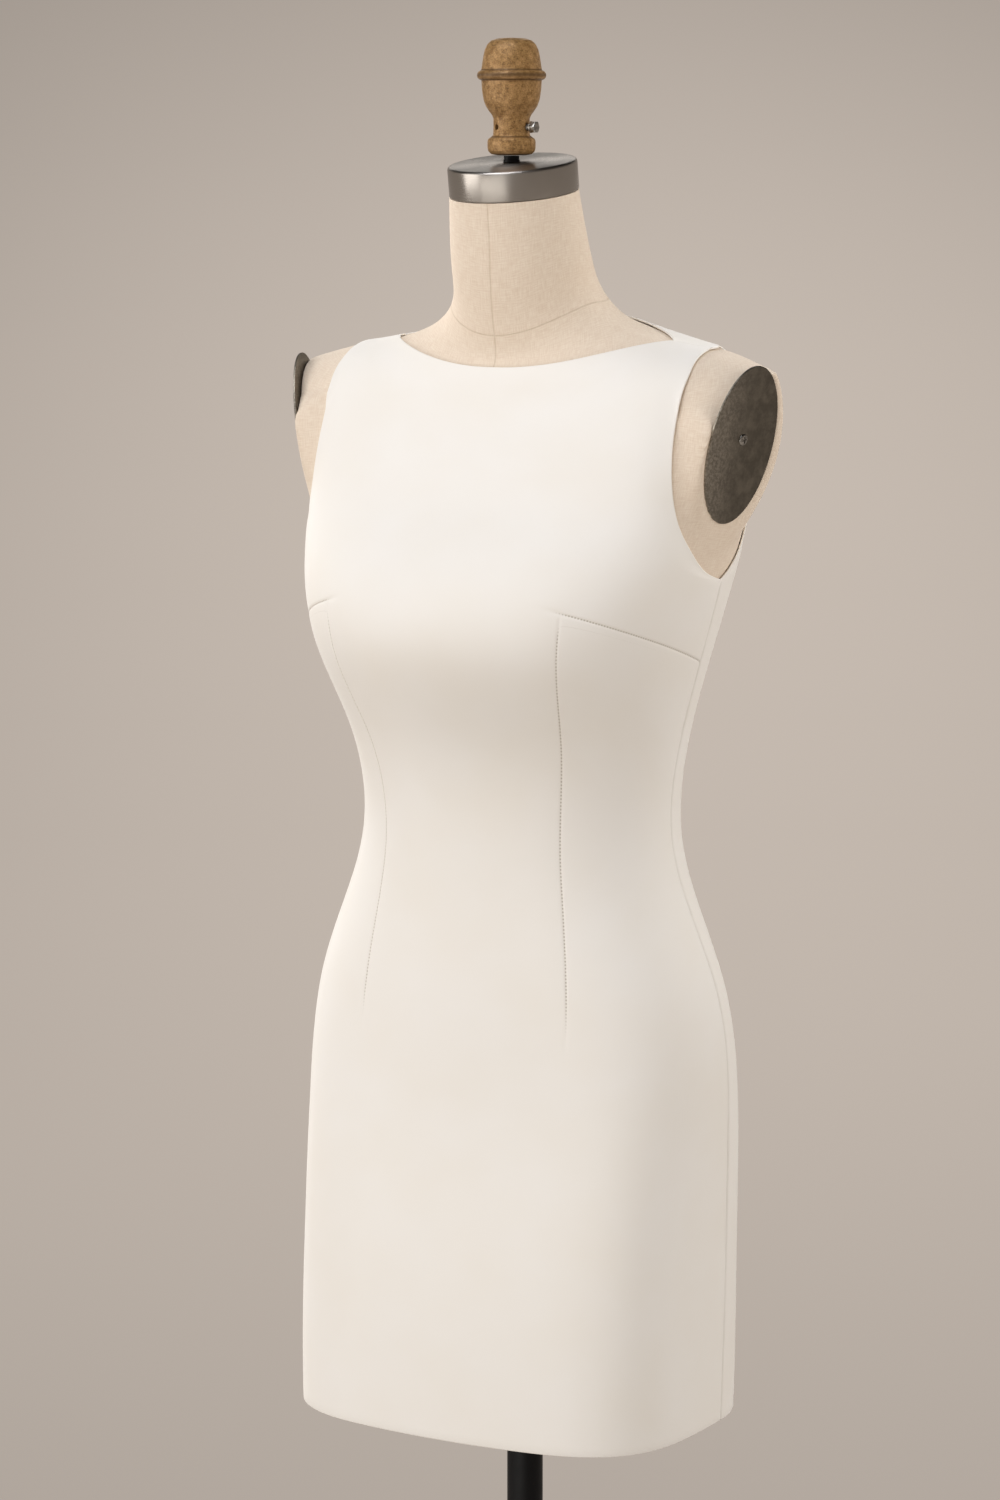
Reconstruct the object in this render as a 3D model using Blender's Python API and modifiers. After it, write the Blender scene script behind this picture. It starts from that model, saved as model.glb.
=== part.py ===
"""A sleeveless bodycon dress worn on a limbless dress form.

Metres, +Z up, the wearer faces -Y and the wearer's left is +X. The origin is the middle of the
base's underside. Every piece of cloth and the form under it are read from one body surface: a
table of girth sections, each a ring round the body, joined by a smooth curve. A place on that
surface is an angle round the body (0 at the front, 90 at the wearer's left side seam, 180 at the
back) and a station, the distance up the body from the lowest section.
"""
import math

import bmesh
import bpy
import numpy as np
from mathutils import Matrix, Vector

# ---------------------------------------------------------------- driving dimensions

WAIST = 1.030            # height of the waist above the floor
CLOTH = 0.0016           # thickness of the crepe, with its turned edges
EASE = 0.0018            # clearance between the cloth and the form
SEAM = 0.0003            # gap between two pieces that meet

# Girth sections. Heights are above the waist, at the side, front and back of the ring. half is
# half the width, middle is how far the widest place lies behind the origin, front and back are
# the depths before and behind the origin. square_f and square_b make a half ring squarer.
SECTION_COLUMNS = ("station", "z_side", "z_front", "z_back", "half", "middle",
                   "front", "back", "square_f", "square_b")
SECTIONS = (
    (0.000, -0.500, -0.500, -0.500, 0.1580, 0.010, 0.130, 0.126, 0.07, 0.00),    # below the hem
    (0.170, -0.330, -0.330, -0.330, 0.1610, 0.012, 0.125, 0.129, 0.07, 0.00),    # thigh
    (0.300, -0.200, -0.200, -0.200, 0.1640, 0.009, 0.109, 0.117, 0.06, 0.00),    # hip
    (0.402, -0.100, -0.100, -0.100, 0.1570, 0.001, 0.103, 0.083, 0.03, 0.01),    # high hip
    (0.506, 0.000, 0.000, 0.000, 0.1240, -0.004, 0.098, 0.079, 0.01, 0.01),      # waist
    (0.587, 0.080, 0.080, 0.080, 0.1295, -0.003, 0.111, 0.082, 0.02, 0.01),      # ribs
    (0.655, 0.145, 0.145, 0.145, 0.1470, -0.004, 0.144, 0.086, 0.03, 0.02),      # under the bust
    (0.712, 0.200, 0.200, 0.200, 0.1610, -0.001, 0.138, 0.106, 0.03, 0.02),      # bust
    (0.773, 0.257, 0.251, 0.251, 0.1740, 0.009, 0.101, 0.114, 0.03, 0.02),       # armpit
    (0.827, 0.310, 0.290, 0.314, 0.1850, 0.013, 0.079, 0.106, 0.02, 0.02),       # across chest
    (0.856, 0.345, 0.313, 0.343, 0.1790, 0.019, 0.067, 0.101, 0.01, 0.01),       # shoulder tip
    (0.907, 0.365, 0.341, 0.378, 0.1220, 0.016, 0.056, 0.087, 0.00, 0.00),       # mid shoulder
    (0.958, 0.392, 0.368, 0.399, 0.0590, 0.004, 0.048, 0.064, 0.00, 0.00),       # neck base
    (0.990, 0.419, 0.400, 0.429, 0.0515, -0.006, 0.055, 0.044, 0.00, 0.00),      # neck
    (1.043, 0.4752, 0.4682, 0.4822, 0.0465, -0.019, 0.0655, 0.0275, 0.00, 0.00),  # past the cap's foot
)

# Lines across half of a panel, from its middle to its edge. Each starts at the centre station
# and ends at the edge station and edge angle; rows is how many rows of faces lead up to it.
LINE_COLUMNS = ("rows", "centre", "edge", "angle")
ROW_COLUMNS = ("centre", "edge", "angle")
FRONT_LINES = (
    (0, 0.0710, 0.0710, 90.0),     # hem
    (4, 0.3000, 0.3000, 90.0),     # hip
    (8, 0.5060, 0.5060, 90.0),     # waist
    (9, 0.7080, 0.6470, 90.0),     # bust dart
    (2, 0.7350, 0.7080, 90.0),     # underarm
)
FRONT_ARMHOLE = (
    (0, 0.7350, 0.7080, 90.0),
    (1, 0.7480, 0.7165, 80.0),
    (1, 0.7620, 0.7334, 70.4),
    (2, 0.7800, 0.7565, 60.5),
    (2, 0.8030, 0.7884, 52.6),
    (1, 0.8290, 0.8199, 49.1),
    (1, 0.8480, 0.8420, 49.7),
    (1, 0.8625, 0.8570, 52.6),
    (1, 0.8740, 0.8690, 57.6),
    (1, 0.8850, 0.8800, 64.5),
    (1, 0.8960, 0.8895, 76.0),
    (1, 0.9060, 0.8955, 92.0),     # shoulder tip
)
FRONT_SHOULDER = (
    (0, 0.9060, 0.8955, 92.0),
    (3, 0.9210, 0.9140, 92.0),     # neckline
)
BACK_LINES = (
    (0, 0.0710, 0.0710, 90.0),
    (4, 0.3000, 0.3000, 90.0),
    (8, 0.5060, 0.5060, 90.0),
    (11, 0.7300, 0.7080, 90.0),
)
BACK_ARMHOLE = (
    (0, 0.7300, 0.7080, 90.0),
    (1, 0.7420, 0.7190, 80.0),
    (1, 0.7600, 0.7365, 70.0),
    (2, 0.7850, 0.7640, 61.0),
    (1, 0.8110, 0.7980, 54.5),
    (1, 0.8380, 0.8300, 51.0),
    (1, 0.8600, 0.8545, 50.2),
    (1, 0.8800, 0.8750, 52.5),
    (1, 0.8950, 0.8890, 62.0),
    (1, 0.9040, 0.8955, 87.6),
)
BACK_SHOULDER = (
    (0, 0.9040, 0.8955, 87.6),
    (3, 0.9300, 0.9140, 87.6),
)
LINE_BOW = 1.4           # a line leaves the middle level and falls to its edge with this power

# Darts. A waist dart runs along a line of the panel given as a share of the way from the middle
# to the edge, at rows given by their centre station; the bust dart runs along its own line, from
# the side seam in to its tip.
FRONT_DART = ((0.071, 0.330), (0.372, 0.304), (0.442, 0.349), (0.475, 0.372), (0.583, 0.394),
              (0.640, 0.390), (0.701, 0.380), (0.735, 0.372), (0.930, 0.360))
BACK_DART = ((0.071, 0.420), (0.372, 0.430), (0.506, 0.445), (0.650, 0.440), (0.930, 0.420))
FRONT_DART_ENDS = (0.372, 0.701)
BACK_DART_ENDS = (0.385, 0.665)
BUST_DART_TIP = 32.0     # angle where the bust dart ends
DART_DEPTH = 0.0009      # how deep the stitched fold lies
DART_HALF = 0.0022       # half the width of the hollow along it
DART_RUN_OUT = 0.030     # a waist dart's hollow runs out over this length at each end
BUST_DART_RISE = (-1.0, 14.0)  # degrees from the bust dart's tip over which its hollow begins
EDGE_LIFT = 0.0005       # the cloth stands off the form by this much more at an armhole edge
LIFT_BETWEEN = (0.700, 0.730)  # edge stations over which that begins
LIFT_SHARE = 0.70        # and the share of the half panel from which it begins
PANEL_COLUMNS = 12       # columns of faces between a panel's middle and its edge
INNER_COLUMNS = 4        # of these, the columns between the middle and the waist dart
HALF_WIDTH = 0.230       # cloth from the middle to the side seam, near enough to place a dart's rim

# The form
FORM_ROWS = ((0.262, 0), (0.300, 2), (0.506, 8), (0.712, 9), (0.868, 12), (0.958, 5), (1.043, 3))
FORM_ANGLES = (0, 12, 24, 34, 42, 47, 51, 54, 58, 63, 70, 78, 86, 94, 102, 110, 118, 126, 135,
               146, 157, 168, 180)
FORM_EDGE = (0.0050, 0.330)    # the form draws in this far at its lower edge, up to this station
NECK_BLEND = (0.932, 0.966)    # between these stations the bare neck grows to its full size
PLATE_CENTRE = (0.1780, -0.0087, WAIST + 0.2945)
PLATE_SIZE = (0.071, 0.115)    # width and height of the oval arm plate
PLATE_RIM = 0.0030             # flat linen round the plate
# Over these distances the flat round the plate runs out into the shoulder
PLATE_SPREAD = {"front": 0.0045, "back": 0.032, "top": 0.008, "bottom": 0.016}
PLATE_THICK = 0.0030
PLATE_RECESS = 0.0022
PLATE_TILT = math.radians(10)  # lower edge in
PLATE_TURN = math.radians(14)  # towards the front
PLATE_LEAN = math.radians(10)  # upper end back
PLATE_FACING = (0.25, 0.72)    # sideways share of the normal over which the flat takes hold
PLATE_FRONT_FACING = (0.20, 0.50)          # the same before and behind the plate
PLATE_TOP = (0.30, 0.55)       # upward share of the normal over which that gives way
PLATE_DEPTH = (0.036, 0.052)   # the flat takes no hold of what lies deeper than this under the plate
SCREW_RADIUS = 0.0042
SCREW_HEIGHT = 0.0016
SCREW_UP = 0.004               # the screw sits this far above the plate's middle

CAP_RADIUS = 0.047
CAP_HEIGHT = 0.0224
CAP_TILT = math.radians(8.8)
CAP_CENTRE = (0.0, -0.018, WAIST + 0.4710)     # middle of the cap's lower rim
FINIAL_Y = -0.0222
FINIAL_FOOT = WAIST + 0.4975
ROD_RADIUS = 0.006
# Finial outline from the top down: radius and height above its foot
FINIAL_OUTLINE = (
    (0.0000, 0.0832), (0.0080, 0.0828), (0.0135, 0.0812), (0.0172, 0.0774), (0.0195, 0.0728),
    (0.0210, 0.0646), (0.0218, 0.0606), (0.0239, 0.0597), (0.0246, 0.0578), (0.0246, 0.0560),
    (0.0238, 0.0541), (0.0216, 0.0530), (0.0212, 0.0476), (0.0198, 0.0395), (0.0155, 0.0315),
    (0.0132, 0.0268), (0.0130, 0.0140), (0.0160, 0.0124), (0.0172, 0.0104), (0.0172, 0.0046),
    (0.0152, 0.0016), (0.0100, 0.0000), (0.0000, 0.0000))
FINIAL_WAIST = 0.0130          # radius of the waist
BOLT_HEIGHT = 0.0200           # above the finial's foot
BOLT_HEAD = (0.0044, 0.0046)   # hexagon's corner radius and length
BOLT_SHANK = 0.0025
BOLT_STAND_OFF = 0.0028        # the head stands this far off the finial's waist
BOLT_DEPTH = 0.0040            # the shank goes this far in
HOLE_RADIUS = 0.0021           # blind hole in the finial's waist
HOLE_DEPTH = 0.0060
HOLE_ANGLE = math.radians(-27)  # from straight ahead, towards the wearer's right

FLANGE_RADIUS = 0.055
FLANGE_HEIGHT = 0.006
SLEEVE_RADIUS = 0.020
SLEEVE_HEIGHT = 0.055
POLE_RADIUS = 0.0135
BASE_RADIUS = 0.200
BASE_HEIGHT = 0.024
BASE_HUB = (0.034, 0.020)      # radius and height of the hub that holds the pole

# The zip in the centre back seam
SLIDER_STATION = 0.913
SLIDER_SIZE = (0.0052, 0.0090, 0.0018)     # across, along the seam, out from the cloth
BAIL_INNER = 0.0012
BAIL_WIRE = 0.00040
BAIL_ROOT = 0.0006             # the wire's ends lie this deep in the slider
SLIDER_ROUND = 0.0005
PULL_BAR = 0.00050
PULL_LENGTH = 0.020
PULL_WIDTH = 0.0064
PULL_THICK = 0.0010
PULL_BAR_HEIGHT = 0.0013       # the pull's top bar turns this far above the slider
PULL_SIDE = (0.0021, 0.0023, 0.0060)       # half widths at the bar and below it, and how far below
PULL_EYE = (0.0026, 0.0042)    # width and length of the eye
PULL_REST = math.radians(6)    # the tab's tip leans in to the cloth

COLLECTION = "Bodycon_Dress_On_Form"
COLUMN = {name: index - 1 for index, name in enumerate(SECTION_COLUMNS)}


# ---------------------------------------------------------------- the body surface

def smooth_curve(knots, values, at):
    """Natural cubic spline through values at knots, read at the places in at."""
    knots = np.asarray(knots, float)
    values = np.asarray(values, float)
    count = len(knots)
    gaps = np.diff(knots)
    left = np.eye(count)
    right = np.zeros((count,) + values.shape[1:])
    for i in range(1, count - 1):
        left[i, i - 1:i + 2] = (gaps[i - 1], 2 * (gaps[i - 1] + gaps[i]), gaps[i])
        right[i] = 6 * ((values[i + 1] - values[i]) / gaps[i] - (values[i] - values[i - 1]) / gaps[i - 1])
    bend = np.linalg.solve(left, right)
    at = np.asarray(at, float)
    i = np.clip(np.searchsorted(knots, at) - 1, 0, count - 2)
    low = (knots[i + 1] - at) / gaps[i]
    high = 1 - low
    square = gaps[i] ** 2
    if values.ndim > 1:
        low, high, square = low[..., None], high[..., None], square[..., None]
    return (low * values[i] + high * values[i + 1]
            + ((low ** 3 - low) * bend[i] + (high ** 3 - high) * bend[i + 1]) * square / 6)


def smooth_step(low, high, value):
    """0 below low, 1 above high and an even ease between."""
    share = np.clip((np.asarray(value, float) - low) / (high - low), 0, 1)
    return share * share * (3 - 2 * share)


SECTION_TABLE = np.array(SECTIONS, float)


def body_point(angle, station):
    """Points of the dress's outer surface at angles in degrees and stations in metres."""
    angle, station = np.broadcast_arrays(np.asarray(angle, float), np.asarray(station, float))
    row = smooth_curve(SECTION_TABLE[:, 0], SECTION_TABLE[:, 1:], station)
    turn = np.radians(angle)
    sine, cosine = np.sin(turn), np.cos(turn)
    before = cosine >= 0
    square = np.where(before, row[..., COLUMN["square_f"]], row[..., COLUMN["square_b"]])
    across = row[..., COLUMN["half"]] * (sine + square * np.sin(3 * turn)) / (1 - square)
    deep = np.abs(cosine - square * np.cos(3 * turn)) / (1 - square)
    middle = row[..., COLUMN["middle"]]
    along = np.where(before, middle - (row[..., COLUMN["front"]] + middle) * deep,
                     middle + (row[..., COLUMN["back"]] - middle) * deep)
    side = row[..., COLUMN["z_side"]]
    end = np.where(before, row[..., COLUMN["z_front"]], row[..., COLUMN["z_back"]])
    height = WAIST + side + (end - side) * cosine ** 2
    return np.stack([across, along, height], axis=-1)


def body_normal(angle, station):
    """Outward unit normals of the surface that body_point gives."""
    turn, climb = 0.5, 0.002
    round_body = body_point(angle + turn, station) - body_point(angle - turn, station)
    up_body = body_point(angle, station + climb) - body_point(angle, station - climb)
    normal = np.cross(round_body, up_body)
    return normal / np.linalg.norm(normal, axis=-1, keepdims=True)


def cloth_point(angle, station, out):
    """Points that lie out metres outside the dress's outer surface."""
    angle, station = np.broadcast_arrays(np.asarray(angle, float), np.asarray(station, float))
    return body_point(angle, station) + body_normal(angle, station) * np.asarray(out)[..., None]


# ---------------------------------------------------------------- small helpers

def start_empty():
    """Remove what is in the scene and make the collections."""
    for item in list(bpy.data.objects):
        bpy.data.objects.remove(item, do_unlink=True)
    made = []
    for name in (COLLECTION, "Cutters"):
        group = bpy.data.collections.new(name)
        bpy.context.scene.collection.children.link(group)
        made.append(group)
    return made


def material(name, colour, roughness, metallic=0.0):
    """A Principled material from an sRGB colour given as three 0-255 numbers."""
    made = bpy.data.materials.new(name)
    made.use_nodes = True
    shader = made.node_tree.nodes["Principled BSDF"]
    shares = [c / 255 for c in colour]
    linear = [(c / 12.92 if c <= 0.04045 else ((c + 0.055) / 1.055) ** 2.4) for c in shares]
    shader.inputs["Base Color"].default_value = (*linear, 1.0)
    shader.inputs["Roughness"].default_value = roughness
    shader.inputs["Metallic"].default_value = metallic
    return made


def add_object(name, mesh, finish, group):
    """Link a mesh as a named object with its material."""
    mesh.materials.append(finish)
    made = bpy.data.objects.new(name, mesh)
    group.objects.link(made)
    return made


def shade(mesh, angle=35):
    """Smooth shading with sharp edges past an angle in degrees."""
    mesh.shade_smooth()
    mesh.set_sharp_from_angle(angle=math.radians(angle))


def face_out(shape):
    """Turn every face of a closed bmesh outwards."""
    shape.normal_update()
    bmesh.ops.recalc_face_normals(shape, faces=shape.faces)


def mesh_from_bmesh(name, shape, degrees=35):
    """Close a bmesh into a mesh with smooth shading."""
    mesh = bpy.data.meshes.new(name)
    shape.to_mesh(mesh)
    shape.free()
    shade(mesh, degrees)
    return mesh


def grid_wall(name, outer, inner):
    """A closed wall between two grids of points, each rows x columns x 3."""
    rows, columns = outer.shape[:2]
    shape = bmesh.new()
    faces_out = [[shape.verts.new(p) for p in line] for line in outer]
    faces_in = [[shape.verts.new(p) for p in line] for line in inner]
    for r in range(rows - 1):
        for c in range(columns - 1):
            low, high = faces_out[r], faces_out[r + 1]
            shape.faces.new((low[c], low[c + 1], high[c + 1], high[c]))
            low, high = faces_in[r], faces_in[r + 1]
            shape.faces.new((low[c], high[c], high[c + 1], low[c + 1]))
    rim = ([(0, c) for c in range(columns - 1)] + [(r, columns - 1) for r in range(rows - 1)]
           + [(rows - 1, c) for c in range(columns - 1, 0, -1)] + [(r, 0) for r in range(rows - 1, 0, -1)])
    for here, there in zip(rim, rim[1:] + rim[:1]):
        a, b = faces_out[here[0]][here[1]], faces_out[there[0]][there[1]]
        c, d = faces_in[there[0]][there[1]], faces_in[here[0]][here[1]]
        shape.faces.new((b, a, d, c))
    face_out(shape)
    return mesh_from_bmesh(name, shape, 50)


def turned(name, outline, finish, group, steps=32):
    """A turned piece from an outline of (radius, height) pairs, top to bottom."""
    shape = bmesh.new()
    points = [shape.verts.new((radius, 0.0, height)) for radius, height in outline]
    for here, there in zip(points, points[1:]):
        shape.edges.new((here, there))
    mesh = bpy.data.meshes.new(name)
    shape.to_mesh(mesh)
    shape.free()
    made = add_object(name, mesh, finish, group)
    spin = made.modifiers.new("Turn", "SCREW")
    spin.axis = "Z"
    spin.angle = 2 * math.pi
    spin.steps = steps
    spin.render_steps = steps
    spin.use_merge_vertices = True
    spin.merge_threshold = 0.00005
    spin.use_smooth_shade = True
    return made


def subtract(target, cutter):
    """Cut one object out of another with a live Boolean."""
    cutter.hide_render = True
    cutter.display_type = "WIRE"
    cut = target.modifiers.new("Cut", "BOOLEAN")
    cut.operation = "DIFFERENCE"
    cut.object = cutter


# ---------------------------------------------------------------- dress panels

def panel_rows(tables):
    """Centre stations, edge stations and edge angles of a panel's rows, from its line tables."""
    rows = []
    for index, (table, smooth) in enumerate(tables):
        lines = [dict(zip(LINE_COLUMNS, line)) for line in table]
        values = np.array([[line[name] for name in ROW_COLUMNS] for line in lines], float)
        places = np.arange(len(lines), dtype=float)
        want = [0.0]
        for index_below, line in enumerate(lines[1:]):
            want += list(index_below + np.arange(1, line["rows"] + 1) / line["rows"])
        if smooth:
            part = smooth_curve(places, values, want)
        else:
            part = np.stack([np.interp(want, places, column) for column in values.T], axis=1)
        rows += list(part if index == 0 else part[1:])
    return np.array(rows)


def with_dart_rows(rows, centre):
    """Add a row just under and just over the row that a bust dart lies on."""
    index = int(np.argmin(np.abs(rows[:, 0] - centre)))
    extra = []
    for neighbour in (index - 1, index + 1):
        step = rows[neighbour] - rows[index]
        extra.append(rows[index] + step * DART_HALF / abs(step[1]))
    return np.concatenate([rows[:index], [extra[0], rows[index], extra[1]], rows[index + 1:]]), index + 1


def half_panel(rows, dart):
    """Angles from the panel's middle and stations of half a panel, and its dart column."""
    share = smooth_curve([d[0] for d in dart], [d[1] for d in dart], rows[:, 0])
    beside = DART_HALF / HALF_WIDTH
    columns = np.array([np.concatenate([np.linspace(0, line - beside, INNER_COLUMNS), [line],
                                        np.linspace(line + beside, 1, PANEL_COLUMNS - INNER_COLUMNS)])
                        for line in share])
    angle = columns * rows[:, 2:3]
    station = rows[:, 0:1] + (rows[:, 1:2] - rows[:, 0:1]) * columns ** LINE_BOW
    return angle, station, INNER_COLUMNS


def dart_hollow(rows, ends):
    """Depth of a waist dart's hollow at each row, running out at both ends."""
    begin = smooth_step(ends[0], ends[0] + DART_RUN_OUT, rows[:, 0])
    finish = 1 - smooth_step(ends[1] - DART_RUN_OUT, ends[1], rows[:, 0])
    return DART_DEPTH * begin * finish


def edge_lift(angle, rows):
    """How far the cloth stands off towards its armhole edge."""
    share = angle / rows[:, 2:3]
    return EDGE_LIFT * smooth_step(LIFT_SHARE, 1.0, share) * smooth_step(*LIFT_BETWEEN, rows[:, 1:2])


def trim_edge(angle, station):
    """Hold a panel's edge column back by half a seam gap."""
    here = body_point(angle[:, -1], station[:, -1])
    beyond = body_point(angle[:, -1] + 1, station[:, -1])
    angle[:, -1] -= SEAM / 2 / np.linalg.norm(beyond - here, axis=1)
    return angle


def dress_front(finish, group):
    """The front, cut in one on the fold, with bust darts and waist darts."""
    rows = panel_rows(((FRONT_LINES, False), (FRONT_ARMHOLE, True), (FRONT_SHOULDER, False)))
    rows, bust_row = with_dart_rows(rows, FRONT_LINES[3][1])
    angle, station, dart_column = half_panel(rows, FRONT_DART)
    hollow = np.zeros(angle.shape)
    hollow[:, dart_column] = dart_hollow(rows, FRONT_DART_ENDS)
    lift = edge_lift(angle, rows)
    rise = [BUST_DART_TIP + degrees for degrees in BUST_DART_RISE]
    along = smooth_step(*rise, angle[bust_row])
    hollow[bust_row] = np.maximum(hollow[bust_row], DART_DEPTH * along)
    angle = trim_edge(angle, station)
    angle = np.concatenate([-angle[:, :0:-1], angle], axis=1)
    station = np.concatenate([station[:, :0:-1], station], axis=1)
    hollow = np.concatenate([hollow[:, :0:-1], hollow], axis=1)
    lift = np.concatenate([lift[:, :0:-1], lift], axis=1)
    outer = cloth_point(angle, station, lift - hollow)
    inner = cloth_point(angle, station, lift - CLOTH)
    return add_object("dress_front", grid_wall("dress_front", outer, inner), finish, group)


def dress_back(name, side, finish, group):
    """One back, from the side seam to the centre back seam. side is 1 for the wearer's left."""
    rows = panel_rows(((BACK_LINES, False), (BACK_ARMHOLE, True), (BACK_SHOULDER, False)))
    angle, station, dart_column = half_panel(rows, BACK_DART)
    hollow = np.zeros(angle.shape)
    hollow[:, dart_column] = dart_hollow(rows, BACK_DART_ENDS)
    lift = edge_lift(angle, rows)
    angle = trim_edge(angle, station)
    reach = np.linalg.norm(body_point(181.0, station[:, 0]) - body_point(180.0, station[:, 0]), axis=1)
    angle[:, 0] += SEAM / 2 / reach
    angle = 180 - angle
    if side > 0:
        angle, station, hollow, lift = (grid[:, ::-1] for grid in (angle, station, hollow, lift))
    else:
        angle = -angle
    outer = cloth_point(angle, station, lift - hollow)
    inner = cloth_point(angle, station, lift - CLOTH)
    return add_object(name, grid_wall(name, outer, inner), finish, group)


# ---------------------------------------------------------------- the form

def plate_frame(side):
    """Middle, outward normal and the width and height directions of an arm plate."""
    normal = np.array([math.cos(PLATE_TILT) * math.cos(PLATE_TURN),
                       -math.cos(PLATE_TILT) * math.sin(PLATE_TURN), -math.sin(PLATE_TILT)])
    wide = np.cross([0.0, 0.0, 1.0], normal)
    wide /= np.linalg.norm(wide)
    tall = np.cross(normal, wide)
    lean_wide = wide * math.cos(PLATE_LEAN) - tall * math.sin(PLATE_LEAN)
    lean_tall = tall * math.cos(PLATE_LEAN) + wide * math.sin(PLATE_LEAN)
    mirror = np.array([side, 1.0, 1.0])
    return np.array(PLATE_CENTRE) * mirror, normal * mirror, lean_wide * mirror, lean_tall * mirror


def plate_spread(across, up):
    """How far the flat runs out, in half plate widths, in a direction from the plate's middle."""
    reach = np.maximum(np.hypot(across, up), 1e-6)
    sideways = np.where(across > 0, PLATE_SPREAD["back"], PLATE_SPREAD["front"])
    upright = np.where(up > 0, PLATE_SPREAD["top"], PLATE_SPREAD["bottom"])
    return ((across / reach) ** 2 * sideways + (up / reach) ** 2 * upright) / (PLATE_SIZE[0] / 2)


def form_skin(angle, station):
    """The form's surface: inside the cloth, its own size at the neck, flat at the arm plates."""
    bare = smooth_step(*NECK_BLEND, station)
    drawn_in = FORM_EDGE[0] * (1 - smooth_step(FORM_ROWS[0][0], FORM_EDGE[1], station))
    points = cloth_point(angle, station, -(CLOTH + EASE) * (1 - bare) - drawn_in)
    normals = body_normal(angle, station)
    half = np.array(PLATE_SIZE) / 2 + PLATE_RIM
    for side in (1, -1):
        centre, normal, wide, tall = plate_frame(side)
        away = points - centre
        across, up = away @ wide / half[0], away @ tall / half[1]
        near = 1 - smooth_step(1.0, 1.0 + plate_spread(across, up), np.hypot(across, up))
        facing = smooth_step(*PLATE_FACING, normals[..., 0] * side)
        beside = smooth_step(*PLATE_FRONT_FACING, normals[..., 0] * side)
        facing = np.maximum(facing, beside * (1 - smooth_step(*PLATE_TOP, normals[..., 2])))
        depth = -(away @ normal)
        near = near * (1 - smooth_step(*PLATE_DEPTH, depth))
        points = points + normal * (depth * near * facing)[..., None]
    return points


def torso(finish, group, cutters):
    """The linen-covered torso and neck, a closed solid with a shallow seat for each arm plate."""
    angle = np.array(FORM_ANGLES + tuple(360 - a for a in FORM_ANGLES[-2:0:-1]), float)
    station = np.concatenate([[FORM_ROWS[0][0]]] + [
        np.linspace(low[0], high[0], high[1] + 1)[1:] for low, high in zip(FORM_ROWS, FORM_ROWS[1:])])
    rings = form_skin(angle[None, :] + 0 * station[:, None], station[:, None] + 0 * angle[None, :])
    shape = bmesh.new()
    lines = [[shape.verts.new(p) for p in ring] for ring in rings]
    for low, high in zip(lines, lines[1:]):
        for c in range(len(angle)):
            n = (c + 1) % len(angle)
            shape.faces.new((low[c], low[n], high[n], high[c]))
    shape.faces.new(lines[0][::-1])
    shape.faces.new(lines[-1])
    face_out(shape)
    made = add_object("form_torso", mesh_from_bmesh("form_torso", shape), finish, group)
    for side in (1, -1):
        cutter = oval_disc("plate_seat", side, PLATE_SIZE, SEAM, -PLATE_RECESS, 0.03, finish, cutters)
        subtract(made, cutter)
    shape = bmesh.new()
    bmesh.ops.create_cone(shape, cap_ends=True, segments=24, radius1=0.08, radius2=0.08, depth=0.04)
    bmesh.ops.translate(shape, vec=(0, 0, 0.02 - SEAM), verts=shape.verts)
    cutter = add_object("neck_top", mesh_from_bmesh("neck_top", shape), finish, cutters)
    cutter.matrix_world = cap_place()
    subtract(made, cutter)
    return made


def oval_disc(name, side, size, grow, low, high, finish, group, corners=36, bevel=0.0):
    """An oval disc in an arm plate's frame, between two heights along its normal."""
    centre, normal, wide, tall = plate_frame(side)
    shape = bmesh.new()
    bmesh.ops.create_cone(shape, cap_ends=True, segments=corners, radius1=1.0, radius2=1.0, depth=1.0)
    half = np.array(size) / 2 + grow
    for corner in shape.verts:
        x, y, z = corner.co
        level = low if z < 0 else high
        corner.co = Vector(centre + wide * x * half[0] + tall * y * half[1] + normal * level)
    face_out(shape)
    made = add_object(name, mesh_from_bmesh(name, shape), finish, group)
    if bevel:
        edge = made.modifiers.new("Edge", "BEVEL")
        edge.width = bevel
        edge.segments = 1
        edge.limit_method = "ANGLE"
        edge.angle_limit = math.radians(60)
    return made


def arm_plate(name, side, finish, group):
    """An oval arm plate let into its seat."""
    return oval_disc(name, side, PLATE_SIZE, 0.0, SEAM - PLATE_RECESS, PLATE_THICK - PLATE_RECESS,
                     finish, group, bevel=0.0006)


def plate_screw(name, side, finish, group, cutters):
    """A pan-head screw in an arm plate, with a cross recess."""
    centre, normal, wide, tall = plate_frame(side)
    foot = Vector(centre + normal * (PLATE_THICK - PLATE_RECESS + SEAM) + tall * SCREW_UP)
    place = Matrix.Translation(foot) @ Vector(normal).to_track_quat("Z", "Y").to_matrix().to_4x4()
    crown = ((0.0, SCREW_HEIGHT), (SCREW_RADIUS * 0.55, SCREW_HEIGHT * 0.92),
             (SCREW_RADIUS * 0.88, SCREW_HEIGHT * 0.60), (SCREW_RADIUS, SCREW_HEIGHT * 0.15),
             (SCREW_RADIUS, 0.0), (0.0, 0.0))
    made = turned(name, crown, finish, group, steps=16)
    made.matrix_world = place
    for turn in (0.0, math.pi / 2):
        slot = bmesh.new()
        bmesh.ops.create_cube(slot, size=1.0)
        bmesh.ops.scale(slot, vec=(SCREW_RADIUS * 1.1, SCREW_RADIUS * 0.22, SCREW_HEIGHT), verts=slot.verts)
        bmesh.ops.rotate(slot, matrix=Matrix.Rotation(turn + math.radians(20), 3, "Z"), verts=slot.verts)
        bmesh.ops.translate(slot, vec=(0, 0, SCREW_HEIGHT), verts=slot.verts)
        cutter = add_object("screw_slot", mesh_from_bmesh("screw_slot", slot), finish, cutters)
        cutter.matrix_world = place
        subtract(made, cutter)
    return made


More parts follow.
